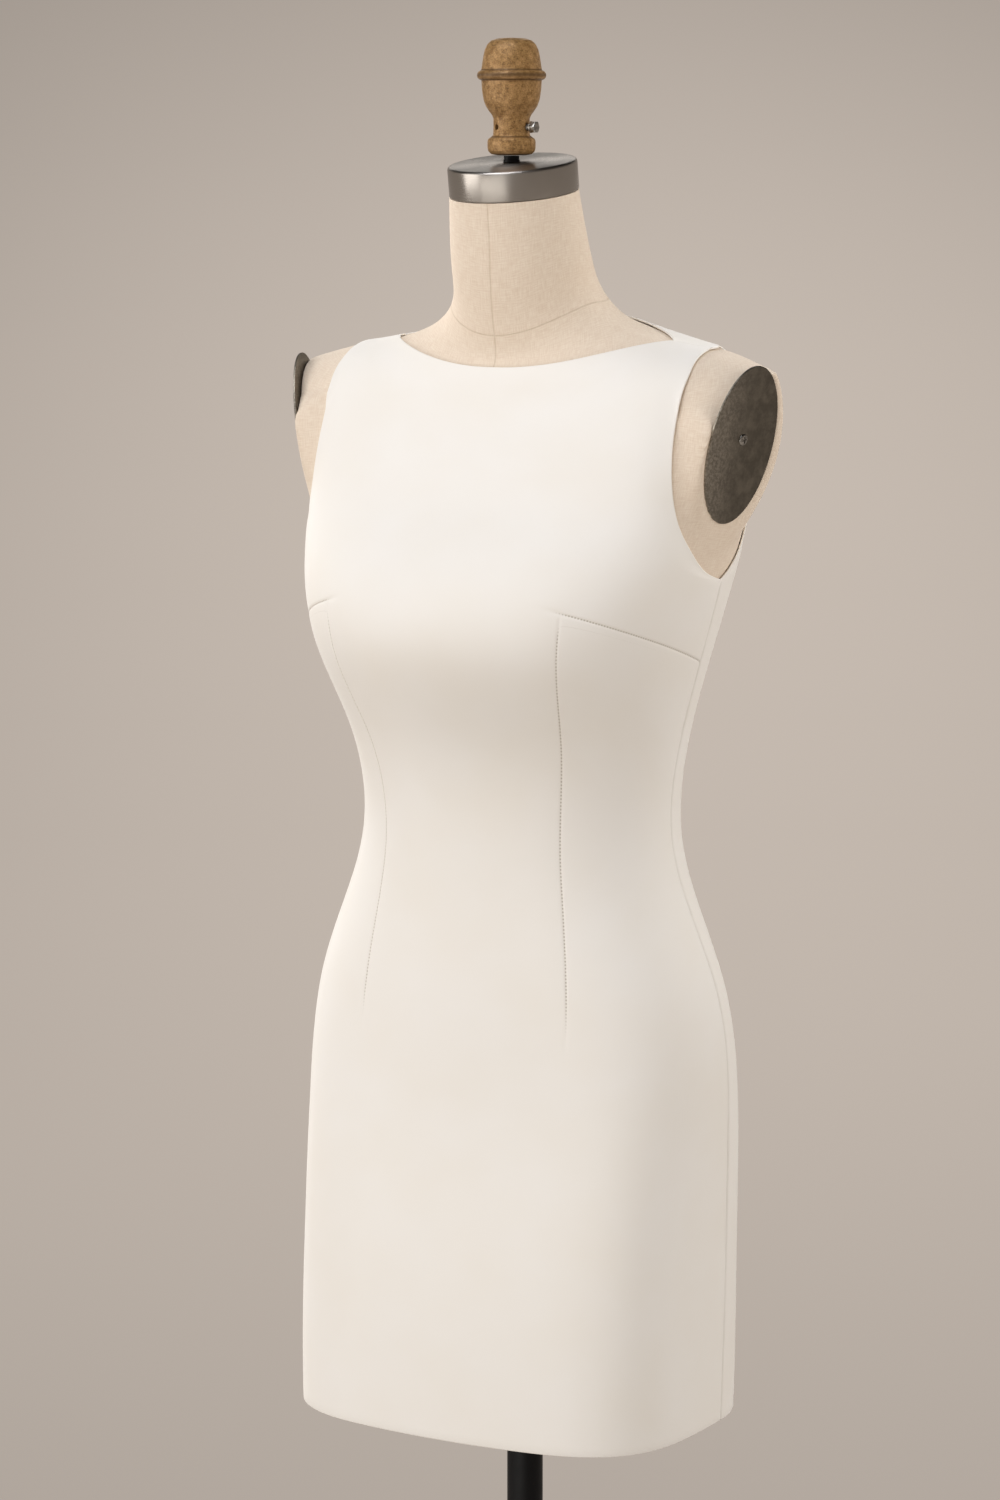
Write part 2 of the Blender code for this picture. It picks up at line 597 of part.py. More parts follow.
def cap_place():
    """World matrix of the cap: on the neck, tipped forward."""
    return Matrix.Translation(CAP_CENTRE) @ Matrix.Rotation(CAP_TILT, 4, "X")


def neck_cap(finish, group):
    """The metal cap on the neck: an upright band with a low domed top, tipped forward."""
    round_off = 0.0016
    outline = ((0.0, CAP_HEIGHT), (CAP_RADIUS * 0.60, CAP_HEIGHT - 0.0002),
               (CAP_RADIUS - round_off, CAP_HEIGHT - 0.0008),
               (CAP_RADIUS - round_off * 0.3, CAP_HEIGHT - 0.0013), (CAP_RADIUS, CAP_HEIGHT - 0.0024),
               (CAP_RADIUS, 0.0006), (CAP_RADIUS - 0.0006, 0.0), (0.0, 0.0))
    made = turned("form_neck_cap", outline, finish, group, steps=48)
    made.matrix_world = cap_place()
    return made


def cap_top_height(y):
    """Height of the cap's tipped top at a distance y in front of or behind the origin."""
    top = cap_place() @ Vector((0, 0, CAP_HEIGHT))
    return top.z + (y - top.y) * math.tan(CAP_TILT)


def finial_rod(finish, group):
    """The upright rod between the cap and the finial, its foot cut to the cap's slope."""
    shape = bmesh.new()
    bmesh.ops.create_cone(shape, cap_ends=True, segments=24, radius1=ROD_RADIUS, radius2=ROD_RADIUS,
                          depth=1.0)
    for corner in shape.verts:
        y = FINIAL_Y + corner.co.y
        corner.co.y = y
        corner.co.z = FINIAL_FOOT - SEAM if corner.co.z > 0 else cap_top_height(y) + SEAM
    return add_object("finial_rod", mesh_from_bmesh("finial_rod", shape), finish, group)


def finial(finish, group, cutters):
    """The turned wooden finial, with a small blind hole in its waist."""
    made = turned("form_finial", FINIAL_OUTLINE, finish, group, steps=24)
    made.location = (0, FINIAL_Y, FINIAL_FOOT)
    for name, turn, radius, depth in (("finial_hole", HOLE_ANGLE, HOLE_RADIUS, HOLE_DEPTH),
                                      ("bolt_seat", math.pi / 2, BOLT_SHANK + SEAM, BOLT_DEPTH)):
        shape = bmesh.new()
        bmesh.ops.create_cone(shape, cap_ends=True, segments=16, radius1=radius, radius2=radius,
                              depth=2 * depth)
        cutter = add_object(name, mesh_from_bmesh(name, shape), finish, cutters)
        outward = Vector((math.sin(turn), -math.cos(turn), 0))
        place = Vector((0, FINIAL_Y, FINIAL_FOOT + BOLT_HEIGHT)) + outward * FINIAL_WAIST
        cutter.matrix_world = Matrix.Translation(place) @ outward.to_track_quat("Z", "Y").to_matrix().to_4x4()
        subtract(made, cutter)
    return made


def finial_bolt(finish, group):
    """The hexagon bolt that clamps the finial: shank and head in one, along +X."""
    shape = bmesh.new()
    head, length = BOLT_HEAD
    near = FINIAL_WAIST + BOLT_STAND_OFF
    start = FINIAL_WAIST - BOLT_DEPTH + SEAM
    bmesh.ops.create_cone(shape, cap_ends=True, segments=6, radius1=head, radius2=head, depth=length)
    bmesh.ops.translate(shape, vec=(0, 0, near + length / 2), verts=shape.verts)
    mesh = mesh_from_bmesh("finial_bolt", shape)
    made = add_object("finial_bolt", mesh, finish, group)
    shank = bmesh.new()
    end = near + length / 2
    bmesh.ops.create_cone(shank, cap_ends=True, segments=16, radius1=BOLT_SHANK, radius2=BOLT_SHANK,
                          depth=end - start)
    bmesh.ops.translate(shank, vec=(0, 0, (start + end) / 2), verts=shank.verts)
    cutters = bpy.data.collections["Cutters"]
    tool = add_object("bolt_shank", mesh_from_bmesh("bolt_shank", shank), finish, cutters)
    tool.hide_render = True
    tool.display_type = "WIRE"
    join = made.modifiers.new("Shank", "BOOLEAN")
    join.operation = "UNION"
    join.object = tool
    middle = Matrix.Translation((0, FINIAL_Y, FINIAL_FOOT + BOLT_HEIGHT))
    place = middle @ Matrix.Rotation(math.pi / 2, 4, "Y")
    made.matrix_world = place
    tool.matrix_world = place
    return made


def stand(steel, group):
    """Flange with its sleeve, pole and round base."""
    underside = float(form_skin(np.array([0.0]), np.array([FORM_ROWS[0][0]]))[0, 2])
    top = underside - SEAM
    inner = POLE_RADIUS + SEAM
    flange = turned("form_flange", (
        (inner, top), (FLANGE_RADIUS, top), (FLANGE_RADIUS, top - FLANGE_HEIGHT),
        (SLEEVE_RADIUS + 0.004, top - FLANGE_HEIGHT - 0.001), (SLEEVE_RADIUS, top - FLANGE_HEIGHT - 0.005),
        (SLEEVE_RADIUS, top - SLEEVE_HEIGHT), (inner, top - SLEEVE_HEIGHT), (inner, top)),
        steel, group, steps=24)
    hub_radius, hub_height = BASE_HUB
    foot = BASE_HEIGHT + hub_height
    pole = turned("stand_pole", (
        (0.0, top), (POLE_RADIUS, top), (POLE_RADIUS, foot + SEAM), (0.0, foot + SEAM)), steel, group)
    base = turned("stand_base", (
        (0.0, foot), (hub_radius * 0.62, foot), (hub_radius * 0.70, foot - 0.002),
        (hub_radius, BASE_HEIGHT + 0.004), (hub_radius + 0.010, BASE_HEIGHT),
        (BASE_RADIUS - 0.030, BASE_HEIGHT - 0.002),
        (BASE_RADIUS - 0.008, BASE_HEIGHT - 0.007), (BASE_RADIUS, 0.010), (BASE_RADIUS, 0.003),
        (BASE_RADIUS - 0.003, 0.0), (0.0, 0.0)), steel, group, steps=48)
    return flange, pole, base


# ---------------------------------------------------------------- the zip

def zip_frame():
    """Foot of the slider on the cloth, and the directions out of and up the centre back seam."""
    here = Vector(body_point(180.0, SLIDER_STATION))
    out = Vector(body_normal(180.0, SLIDER_STATION))
    out.x = 0.0
    out.normalize()
    return here, out, Vector((1, 0, 0)).cross(out)


def zip_place():
    """World matrix whose Z points out of the cloth and whose Y points up the seam."""
    here, out, up = zip_frame()
    across = up.cross(out)
    place = Matrix((across, up, out)).transposed().to_4x4()
    place.translation = here + out * SEAM
    return place


def zip_slider(finish, group):
    """The slider: a small rounded body and the loop of wire that holds its pull."""
    wide, long, thick = SLIDER_SIZE
    shape = bmesh.new()
    bmesh.ops.create_cube(shape, size=1.0)
    bmesh.ops.scale(shape, vec=(wide, long, thick), verts=shape.verts)
    bmesh.ops.translate(shape, vec=(0, 0, thick / 2), verts=shape.verts)
    bmesh.ops.bevel(shape, geom=list(shape.edges), offset=SLIDER_ROUND, segments=2, affect="EDGES",
                    profile=0.5)
    made = add_object("zip_slider", mesh_from_bmesh("zip_slider", shape), finish, group)
    made.matrix_world = zip_place()
    curve = bpy.data.curves.new("zip_bail", "CURVE")
    curve.dimensions = "3D"
    curve.bevel_depth = BAIL_WIRE
    curve.bevel_resolution = 2
    curve.use_fill_caps = True
    spline = curve.splines.new("POLY")
    radius = BAIL_INNER + BAIL_WIRE
    route = [(0, -radius, thick - BAIL_ROOT)]
    route += [(0, -radius * math.cos(t), thick + BAIL_INNER + radius * math.sin(t))
              for t in np.linspace(0, math.pi, 11)]
    route += [(0, radius, thick - BAIL_ROOT)]
    spline.points.add(len(route) - 1)
    for point, place in zip(spline.points, route):
        point.co = (*place, 1.0)
    loop = bpy.data.objects.new("zip_bail_curve", curve)
    group.objects.link(loop)
    bpy.context.view_layer.update()
    mesh = bpy.data.meshes.new_from_object(loop.evaluated_get(bpy.context.evaluated_depsgraph_get()))
    bpy.data.objects.remove(loop, do_unlink=True)
    weld = bmesh.new()
    weld.from_mesh(mesh)
    bmesh.ops.remove_doubles(weld, verts=weld.verts, dist=0.00002)
    face_out(weld)
    weld.to_mesh(mesh)
    weld.free()
    bail = add_object("zip_bail", mesh, finish, bpy.data.collections["Cutters"])
    bail.matrix_world = zip_place()
    bail.hide_render = True
    bail.display_type = "WIRE"
    join = made.modifiers.new("Bail", "BOOLEAN")
    join.operation = "UNION"
    join.object = bail
    return made


def zip_pull(finish, group, cutters):
    """The pull tab: a thin drop with an eye, hanging by its top bar in the slider's loop."""
    thick = SLIDER_SIZE[2]
    half = PULL_WIDTH / 2
    bar_half, side_half, side_drop = PULL_SIDE
    outline = [(-bar_half, PULL_BAR), (bar_half, PULL_BAR)]
    outline += [(side_half, -side_drop), (half, -PULL_LENGTH + half)]
    outline += [(half * math.cos(t), -PULL_LENGTH + half - half * math.sin(t))
                for t in np.linspace(0, math.pi, 9)[1:-1]]
    outline += [(-half, -PULL_LENGTH + half), (-side_half, -side_drop)]
    shape = bmesh.new()
    low = [shape.verts.new((x, y, -PULL_THICK / 2)) for x, y in outline]
    shape.faces.new(low)
    grown = bmesh.ops.extrude_face_region(shape, geom=list(shape.faces))
    for corner in [g for g in grown["geom"] if isinstance(g, bmesh.types.BMVert)]:
        corner.co.z = PULL_THICK / 2
    face_out(shape)
    made = add_object("zip_pull", mesh_from_bmesh("zip_pull", shape), finish, group)
    slot = bmesh.new()
    bmesh.ops.create_cube(slot, size=1.0)
    bmesh.ops.scale(slot, vec=(PULL_EYE[0], PULL_EYE[1], 0.01), verts=slot.verts)
    bmesh.ops.translate(slot, vec=(0, -PULL_BAR - PULL_EYE[1] / 2, 0), verts=slot.verts)
    cutter = add_object("pull_eye", mesh_from_bmesh("pull_eye", slot), finish, cutters)
    subtract(made, cutter)
    hang = Matrix.Translation((0, 0, thick + PULL_BAR_HEIGHT)) @ Matrix.Rotation(PULL_REST, 4, "X")
    place = zip_place() @ hang
    made.matrix_world = place
    cutter.matrix_world = place
    return made


def main():
    """Build every piece."""
    group, cutters = start_empty()
    crepe = material("white crepe", (243, 239, 235), 0.85)
    linen = material("natural linen", (216, 198, 176), 0.90)
    steel = material("brushed steel", (150, 145, 138), 0.35, 1.0)
    bronze = material("dark lacquered plate", (96, 90, 80), 0.45, 0.6)
    wood = material("stained beech", (158, 124, 88), 0.55)
    zinc = material("zinc plate", (178, 174, 168), 0.35, 1.0)
    black = material("black enamelled steel", (18, 18, 19), 0.35, 0.2)
    nickel = material("white enamelled zip metal", (232, 228, 222), 0.40, 0.2)
    dress_front(crepe, group)
    dress_back("dress_back_left", 1, crepe.copy(), group)
    dress_back("dress_back_right", -1, crepe.copy(), group)
    zip_slider(nickel, group)
    zip_pull(nickel.copy(), group, cutters)
    torso(linen, group, cutters)
    neck_cap(steel, group)
    finial_rod(black.copy(), group)
    finial(wood, group, cutters)
    finial_bolt(zinc, group)
    for name, side in (("left", 1), ("right", -1)):
        arm_plate("arm_plate_" + name, side, bronze.copy(), group)
        plate_screw("arm_plate_screw_" + name, side, zinc.copy(), group, cutters)
    stand(black, group)


main()
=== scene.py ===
"""Finished look of a bodycon dress worn on a limbless dress form.

Metres, in the CAD part's frame: +Z up, the wearer faces -Y and the wearer's left is +X. The cloth
and the linen cover are both read from one body surface, a stack of girth sections, so that each
lies on its own CAD solid. A place on it is an angle round the body, 0 at the front and 180 at the
back, and a station, the distance up the body.
"""
from __future__ import annotations

import logging
import math
from dataclasses import dataclass
from enum import Enum
from typing import Callable, Sequence

import bmesh
import bpy
import numpy as np
from mathutils import Matrix, Vector


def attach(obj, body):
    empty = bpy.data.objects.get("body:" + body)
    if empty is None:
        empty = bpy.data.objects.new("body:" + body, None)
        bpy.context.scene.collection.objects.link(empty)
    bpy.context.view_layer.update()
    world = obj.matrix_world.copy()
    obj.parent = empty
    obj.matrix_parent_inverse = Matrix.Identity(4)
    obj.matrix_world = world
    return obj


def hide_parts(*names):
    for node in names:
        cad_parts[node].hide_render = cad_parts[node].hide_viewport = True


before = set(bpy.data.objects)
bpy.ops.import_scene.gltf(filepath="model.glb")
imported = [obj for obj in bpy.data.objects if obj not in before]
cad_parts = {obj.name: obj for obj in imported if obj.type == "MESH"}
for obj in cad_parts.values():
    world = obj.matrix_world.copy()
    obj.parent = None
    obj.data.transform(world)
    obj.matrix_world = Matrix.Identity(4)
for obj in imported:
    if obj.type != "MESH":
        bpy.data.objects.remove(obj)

LOG = logging.getLogger("dress_form")
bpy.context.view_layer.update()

WAIST = 1.030    # height of the waist above the floor
CLOTH = 0.0016   # thickness of the crepe with its turned edges
EASE = 0.0018    # clearance between the cloth and the form
MM = 0.001


class Body(Enum):
    """Rigid bodies that the pieces ride on."""

    STAND = "form_and_dress"
    PULL = "pull"


class Slot(Enum):
    """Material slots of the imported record."""

    CREPE = "crepe"
    LINEN = "linen"
    CAP = "cap_steel"
    WOOD = "wood"
    ZINC = "zinc"
    PLATE = "dark_plate"
    BLACK = "black_steel"
    ZIP = "zip_metal"


class Side(Enum):
    """The wearer's left and right, as the sign of X."""

    LEFT = 1
    RIGHT = -1

    @property
    def word(self) -> str:
        """The side's name in the CAD nodes."""
        return self.name.lower()


# ---------------------------------------------------------------- curves and the body surface


def smooth_step(low: float, high: float, value: np.ndarray | float) -> np.ndarray:
    """Ease from 0 to 1.

    Args:
        low: value at and below which the result is 0.
        high: value at and above which it is 1.
        value: values to ease.

    Returns:
        The eased shares.
    """
    share = np.clip((np.asarray(value, float) - low) / (high - low), 0, 1)
    return share * share * (3 - 2 * share)


class Curve:
    """Natural cubic spline through rows of values."""

    def __init__(self, knots: Sequence[float], values: Sequence) -> None:
        """Solve the spline.

        Args:
            knots: rising places of the values.
            values: one value, or one row of values, for each knot.
        """
        self.knots = np.asarray(knots, float)
        self.values = np.asarray(values, float)
        self.gaps = np.diff(self.knots)
        count = len(self.knots)
        left, right = np.eye(count), np.zeros(self.values.shape)
        for i in range(1, count - 1):
            before, after = self.gaps[i - 1], self.gaps[i]
            left[i, i - 1:i + 2] = (before, 2 * (before + after), after)
            right[i] = 6 * ((self.values[i + 1] - self.values[i]) / after
                            - (self.values[i] - self.values[i - 1]) / before)
        self.bend = np.linalg.solve(left, right)

    def at(self, places: np.ndarray | Sequence[float]) -> np.ndarray:
        """Read the spline.

        Args:
            places: where to read it.

        Returns:
            The value, or the row of values, at each place.
        """
        places = np.asarray(places, float)
        i = np.clip(np.searchsorted(self.knots, places) - 1, 0, len(self.knots) - 2)
        low = (self.knots[i + 1] - places) / self.gaps[i]
        high, square = 1 - low, self.gaps[i] ** 2
        if self.values.ndim > 1:
            low, high, square = low[..., None], high[..., None], square[..., None]
        return (low * self.values[i] + high * self.values[i + 1]
                + ((low ** 3 - low) * self.bend[i] + (high ** 3 - high) * self.bend[i + 1]) * square / 6)


# Girth sections: station; heights above the waist at the side, front and back; half width; how far
# the widest place lies behind the origin; depths before and behind; squareness before and behind.
SECTIONS = (
    (0.000, -0.500, -0.500, -0.500, 0.1580, 0.010, 0.130, 0.126, 0.07, 0.00),
    (0.170, -0.330, -0.330, -0.330, 0.1610, 0.012, 0.125, 0.129, 0.07, 0.00),
    (0.300, -0.200, -0.200, -0.200, 0.1640, 0.009, 0.109, 0.117, 0.06, 0.00),
    (0.402, -0.100, -0.100, -0.100, 0.1570, 0.001, 0.103, 0.083, 0.03, 0.01),
    (0.506, 0.000, 0.000, 0.000, 0.1240, -0.004, 0.098, 0.079, 0.01, 0.01),
    (0.587, 0.080, 0.080, 0.080, 0.1295, -0.003, 0.111, 0.082, 0.02, 0.01),
    (0.655, 0.145, 0.145, 0.145, 0.1470, -0.004, 0.144, 0.086, 0.03, 0.02),
    (0.712, 0.200, 0.200, 0.200, 0.1610, -0.001, 0.138, 0.106, 0.03, 0.02),
    (0.773, 0.257, 0.251, 0.251, 0.1740, 0.009, 0.101, 0.114, 0.03, 0.02),
    (0.827, 0.310, 0.290, 0.314, 0.1850, 0.013, 0.079, 0.106, 0.02, 0.02),
    (0.856, 0.345, 0.313, 0.343, 0.1790, 0.019, 0.067, 0.101, 0.01, 0.01),
    (0.907, 0.365, 0.341, 0.378, 0.1220, 0.016, 0.056, 0.087, 0.00, 0.00),
    (0.958, 0.392, 0.368, 0.399, 0.0590, 0.004, 0.048, 0.064, 0.00, 0.00),
    (0.990, 0.419, 0.400, 0.429, 0.0515, -0.006, 0.055, 0.044, 0.00, 0.00),
    (1.043, 0.4752, 0.4682, 0.4822, 0.0465, -0.019, 0.0655, 0.0275, 0.00, 0.00),
)


class BodySurface:
    """The worn dress's outer surface, and the bare form's where no dress lies on it."""

    def __init__(self, sections: Sequence[Sequence[float]]) -> None:
        """Fit a smooth curve through the girth sections.

        Args:
            sections: rows of a station and its nine measures.
        """
        self.curve = Curve([row[0] for row in sections], [row[1:] for row in sections])

    def point(self, angle: np.ndarray, station: np.ndarray) -> np.ndarray:
        """Places on the surface.

        Args:
            angle: degrees round the body.
            station: metres up the body.

        Returns:
            XYZ in the last axis.
        """
        angle, station = np.broadcast_arrays(np.asarray(angle, float), np.asarray(station, float))
        side, z_front, z_back, half, middle, front, back, square_f, square_b = np.moveaxis(
            self.curve.at(station), -1, 0)
        turn = np.radians(angle)
        sine, cosine = np.sin(turn), np.cos(turn)
        before = cosine >= 0
        square = np.where(before, square_f, square_b)
        across = half * (sine + square * np.sin(3 * turn)) / (1 - square)
        deep = np.abs(cosine - square * np.cos(3 * turn)) / (1 - square)
        along = np.where(before, middle - (front + middle) * deep, middle + (back - middle) * deep)
        end = np.where(before, z_front, z_back)
        return np.stack([across, along, WAIST + side + (end - side) * cosine ** 2], axis=-1)

    def normal(self, angle: np.ndarray, station: np.ndarray) -> np.ndarray:
        """Outward unit normals; the arguments are those of point."""
        turn, climb = 0.5, 0.002
        round_body = self.point(angle + turn, station) - self.point(angle - turn, station)
        up_body = self.point(angle, station + climb) - self.point(angle, station - climb)
        normal = np.cross(round_body, up_body)
        return normal / np.linalg.norm(normal, axis=-1, keepdims=True)


BODY = BodySurface(SECTIONS)


@dataclass(frozen=True)
class ArmPlatePlace:
    """Where the oval arm plates lie, and how the shoulder is flattened round them."""

    centre: tuple[float, float, float] = (0.1780, -0.0087, WAIST + 0.2945)
    size: tuple[float, float] = (0.071, 0.115)
    rim: float = 0.0030
    spread_front: float = 0.0045
    spread_back: float = 0.032
    spread_top: float = 0.008
    spread_bottom: float = 0.016
    tilt: float = math.radians(10)
    turn: float = math.radians(14)
    lean: float = math.radians(10)
    hold: tuple[float, float] = (0.036, 0.052)         # what lies deeper than this under the plate stays
    faces_out: tuple[float, float] = (0.25, 0.72)      # sideways share of the normal over which it acts
    faces_beside: tuple[float, float] = (0.20, 0.50)   # the same before and behind the plate
    turns_up: tuple[float, float] = (0.30, 0.55)       # upward share over which that gives way
    seat: float = 0.0012                               # the linen under the plate lies this deep
    seat_rim: tuple[float, float] = (0.90, 0.97)       # share of the plate's reach over which that ends
    seat_side: tuple[float, float] = (0.3, 0.5)        # sideways share of the normal over which it acts

    def axes(self, side: Side) -> tuple[np.ndarray, np.ndarray, np.ndarray, np.ndarray]:
        """Middle, outward normal, width direction and height direction of a plate.

        Args:
            side: the wearer's left or right.

        Returns:
            Four XYZ rows.
        """
        normal = np.array([math.cos(self.tilt) * math.cos(self.turn),
                           -math.cos(self.tilt) * math.sin(self.turn), -math.sin(self.tilt)])
        wide = np.cross([0.0, 0.0, 1.0], normal)
        wide /= np.linalg.norm(wide)
        tall = np.cross(normal, wide)
        lean_wide = wide * math.cos(self.lean) - tall * math.sin(self.lean)
        lean_tall = tall * math.cos(self.lean) + wide * math.sin(self.lean)
        mirror = np.array([side.value, 1.0, 1.0])
        return np.array(self.centre) * mirror, normal * mirror, lean_wide * mirror, lean_tall * mirror

    def matrix(self, side: Side) -> Matrix:
        """World matrix whose Z points out of the plate and whose Y points up it."""
        centre, normal, wide, tall = self.axes(side)
        return frame_matrix(wide * side.value, tall, normal, centre)

    def flatten(self, points: np.ndarray, normals: np.ndarray) -> np.ndarray:
        """Press the shoulder flat round both plates.

        Args:
            points: places on the form.
            normals: its normals there.

        Returns:
            The pressed places.
        """
        half = np.array(self.size) / 2
        for side in Side:
            centre, normal, wide, tall = self.axes(side)
            away = points - centre
            across, up = away @ wide, away @ tall
            far = np.hypot(across / (half[0] + self.rim), up / (half[1] + self.rim))
            reach = np.maximum(np.hypot(across, up), 1e-6)
            across_spread = np.where(across > 0, self.spread_back, self.spread_front)
            up_spread = np.where(up > 0, self.spread_top, self.spread_bottom)
            spread = ((across / reach) ** 2 * across_spread + (up / reach) ** 2 * up_spread) / half[0]
            near = 1 - smooth_step(1.0, 1.0 + spread, far)
            sideways = normals[..., 0] * side.value
            upward = smooth_step(*self.turns_up, normals[..., 2])
            beside = smooth_step(*self.faces_beside, sideways) * (1 - upward)
            facing = np.maximum(smooth_step(*self.faces_out, sideways), beside)
            depth = -(away @ normal)
            near = near * (1 - smooth_step(*self.hold, depth))
            points = points + normal * (depth * near * facing)[..., None]
            under = 1 - smooth_step(*self.seat_rim, far)
            sunk = self.seat * under * smooth_step(*self.seat_side, sideways)
            points = points - normal * sunk[..., None]
        return points


PLATES = ArmPlatePlace()


@dataclass(frozen=True)
class LinenSurface:
    """The cover's surface: inside the dress, at its own size on the neck, flat at the plates."""

    foot: float = 0.262
    neck_blend: tuple[float, float] = (0.932, 0.966)
    draw_in: tuple[float, float] = (0.0050, 0.330)
    foot_round: float = 0.004

    def point(self, angle: np.ndarray, station: np.ndarray) -> np.ndarray:
        """Places on the cover.

        Args:
            angle: degrees round the body.
            station: metres up the body.

        Returns:
            XYZ in the last axis.
        """
        bare = smooth_step(*self.neck_blend, station)
        drawn = self.draw_in[0] * (1 - smooth_step(self.foot, self.draw_in[1], station))
        drawn = drawn + self.foot_round * (1 - smooth_step(self.foot, self.foot + 0.006, station))
        out = -(CLOTH + EASE) * (1 - bare) - drawn
        normals = BODY.normal(angle, station)
        return PLATES.flatten(BODY.point(angle, station) + normals * out[..., None], normals)


LINEN = LinenSurface()


# ---------------------------------------------------------------- modelling helpers


def rest_selection() -> None:
    """Go to object mode with nothing selected."""
    if bpy.context.mode != "OBJECT":
        bpy.ops.object.mode_set(mode="OBJECT")
    bpy.ops.object.select_all(action="DESELECT")


def begin_edit(kind: str = "FACE") -> None:
    """Enter edit mode on the active object.

    Args:
        kind: VERT, EDGE or FACE.
    """
    bpy.ops.object.mode_set(mode="EDIT")
    bpy.ops.mesh.select_mode(type=kind)
    bpy.ops.mesh.select_all(action="DESELECT")


def pick_faces(test: Callable[[bmesh.types.BMFace], bool]) -> None:
    """Select, in edit mode, only the faces that pass a test.

    Args:
        test: true for a wanted face.
    """
    bpy.ops.mesh.select_all(action="DESELECT")
    shape = bmesh.from_edit_mesh(bpy.context.edit_object.data)
    for face in shape.faces:
        if test(face):
            face.select_set(True)
    bmesh.update_edit_mesh(bpy.context.edit_object.data)


def pick_edges(test: Callable[[bmesh.types.BMEdge], bool]) -> None:
    """Select, in edit mode, only the edges that pass a test.

    Args:
        test: true for a wanted edge.
    """
    bpy.ops.mesh.select_mode(type="EDGE")
    bpy.ops.mesh.select_all(action="DESELECT")
    shape = bmesh.from_edit_mesh(bpy.context.edit_object.data)
    for edge in shape.edges:
        if test(edge):
            edge.select_set(True)
    bmesh.update_edit_mesh(bpy.context.edit_object.data)


def apply_modifier(piece: bpy.types.Object, kind: str, **settings: object) -> None:
    """Add a modifier and apply it.

    Args:
        piece: object to change.
        kind: modifier type.
        **settings: its values.
    """
    rest_selection()
    bpy.context.view_layer.objects.active = piece
    piece.select_set(True)
    added = piece.modifiers.new("Step", kind)
    for name, value in settings.items():
        setattr(added, name, value)
    bpy.ops.object.modifier_apply(modifier=added.name)


def settle(piece: bpy.types.Object, name: str, place: Matrix,
           smooth_degrees: float = 35) -> bpy.types.Object:
    """Name a piece, put its place into its mesh and shade it.

    Args:
        piece: object to finish.
        name: its name.
        place: world matrix to apply.
        smooth_degrees: edges past this angle stay sharp.

    Returns:
        The piece.
    """
    rest_selection()
    piece.name = name
    piece.data.name = name
    piece.matrix_world = place @ piece.matrix_world
    piece.select_set(True)
    bpy.context.view_layer.objects.active = piece
    bpy.ops.object.transform_apply()
    bpy.ops.object.shade_smooth_by_angle(angle=math.radians(smooth_degrees))
    return piece


def lathe(outline: Sequence[tuple[float, float]], sides: int, round_edges: float = 0.0) -> bpy.types.Object:
    """Turn a piece on Z: a disc is extruded and resized ring by ring.

    Args:
        outline: radius and height of each ring, from the foot up, no radius 0.
        sides: faces round the piece.
        round_edges: width of the bevel on the ring edges.

    Returns:
        The new object, a closed solid.
    """
    rest_selection()
    (radius, height), *rings = outline
    bpy.ops.mesh.primitive_circle_add(vertices=sides, radius=radius, fill_type="NGON",
                                      location=(0, 0, height))
    piece = bpy.context.object
    bpy.ops.object.transform_apply()
    bpy.ops.object.mode_set(mode="EDIT")
    bpy.ops.mesh.select_mode(type="FACE")
    bpy.ops.mesh.select_all(action="SELECT")
    for next_radius, next_height in rings:
        bpy.ops.mesh.extrude_region_move(TRANSFORM_OT_translate={"value": (0, 0, next_height - height)})
        share = next_radius / radius
        bpy.ops.transform.resize(value=(share, share, 1), center_override=(0, 0, next_height))
        radius, height = next_radius, next_height
    bpy.ops.mesh.select_all(action="SELECT")
    bpy.ops.mesh.remove_doubles(threshold=1e-6)
    bpy.ops.mesh.select_mode(type="EDGE")
    bpy.ops.mesh.select_all(action="DESELECT")
    bpy.ops.mesh.select_non_manifold()
    bpy.ops.mesh.fill_holes(sides=0)
    bpy.ops.mesh.select_all(action="SELECT")
    bpy.ops.mesh.normals_make_consistent(inside=False)
    rest_selection()
    if round_edges:
        apply_modifier(piece, "BEVEL", width=round_edges, segments=3, limit_method="ANGLE",
                       angle_limit=math.radians(14))
    return piece


def add_box(size: Sequence[float], place: Sequence[float],
            rotation: Sequence[float] = (0, 0, 0)) -> bpy.types.Object:
    """Add a box with its size and place in its mesh.

    Args:
        size: its three sides.
        place: its middle.
        rotation: Euler angles.

    Returns:
        The box, active.
    """
    rest_selection()
    bpy.ops.mesh.primitive_cube_add(size=1, location=place, rotation=rotation)
    box = bpy.context.object
    box.scale = size
    bpy.ops.object.transform_apply()
    return box


def join(piece: bpy.types.Object, other: bpy.types.Object) -> None:
    """Join another object into a piece."""
    rest_selection()
    other.select_set(True)
    piece.select_set(True)
    bpy.context.view_layer.objects.active = piece
    bpy.ops.object.join()


def cut_with(piece: bpy.types.Object, tool: bpy.types.Object) -> None:
    """Cut a tool out of a piece and throw the tool away.

    Args:
        piece: object to cut.
        tool: closed solid.
    """
    apply_modifier(piece, "BOOLEAN", operation="DIFFERENCE", object=tool, solver="EXACT")
    bpy.data.objects.remove(tool, do_unlink=True)


def frame_matrix(across: Sequence[float], up: Sequence[float], out: Sequence[float],
                 place: Sequence[float]) -> Matrix:
    """World matrix from three axes and a place.

    Args:
        across: direction of local X.
        up: direction of local Y.
        out: direction of local Z.
        place: origin.

    Returns:
        The matrix.
    """
    made = Matrix((Vector(across), Vector(up), Vector(out))).transposed().to_4x4()
    made.translation = Vector(place)
    return made


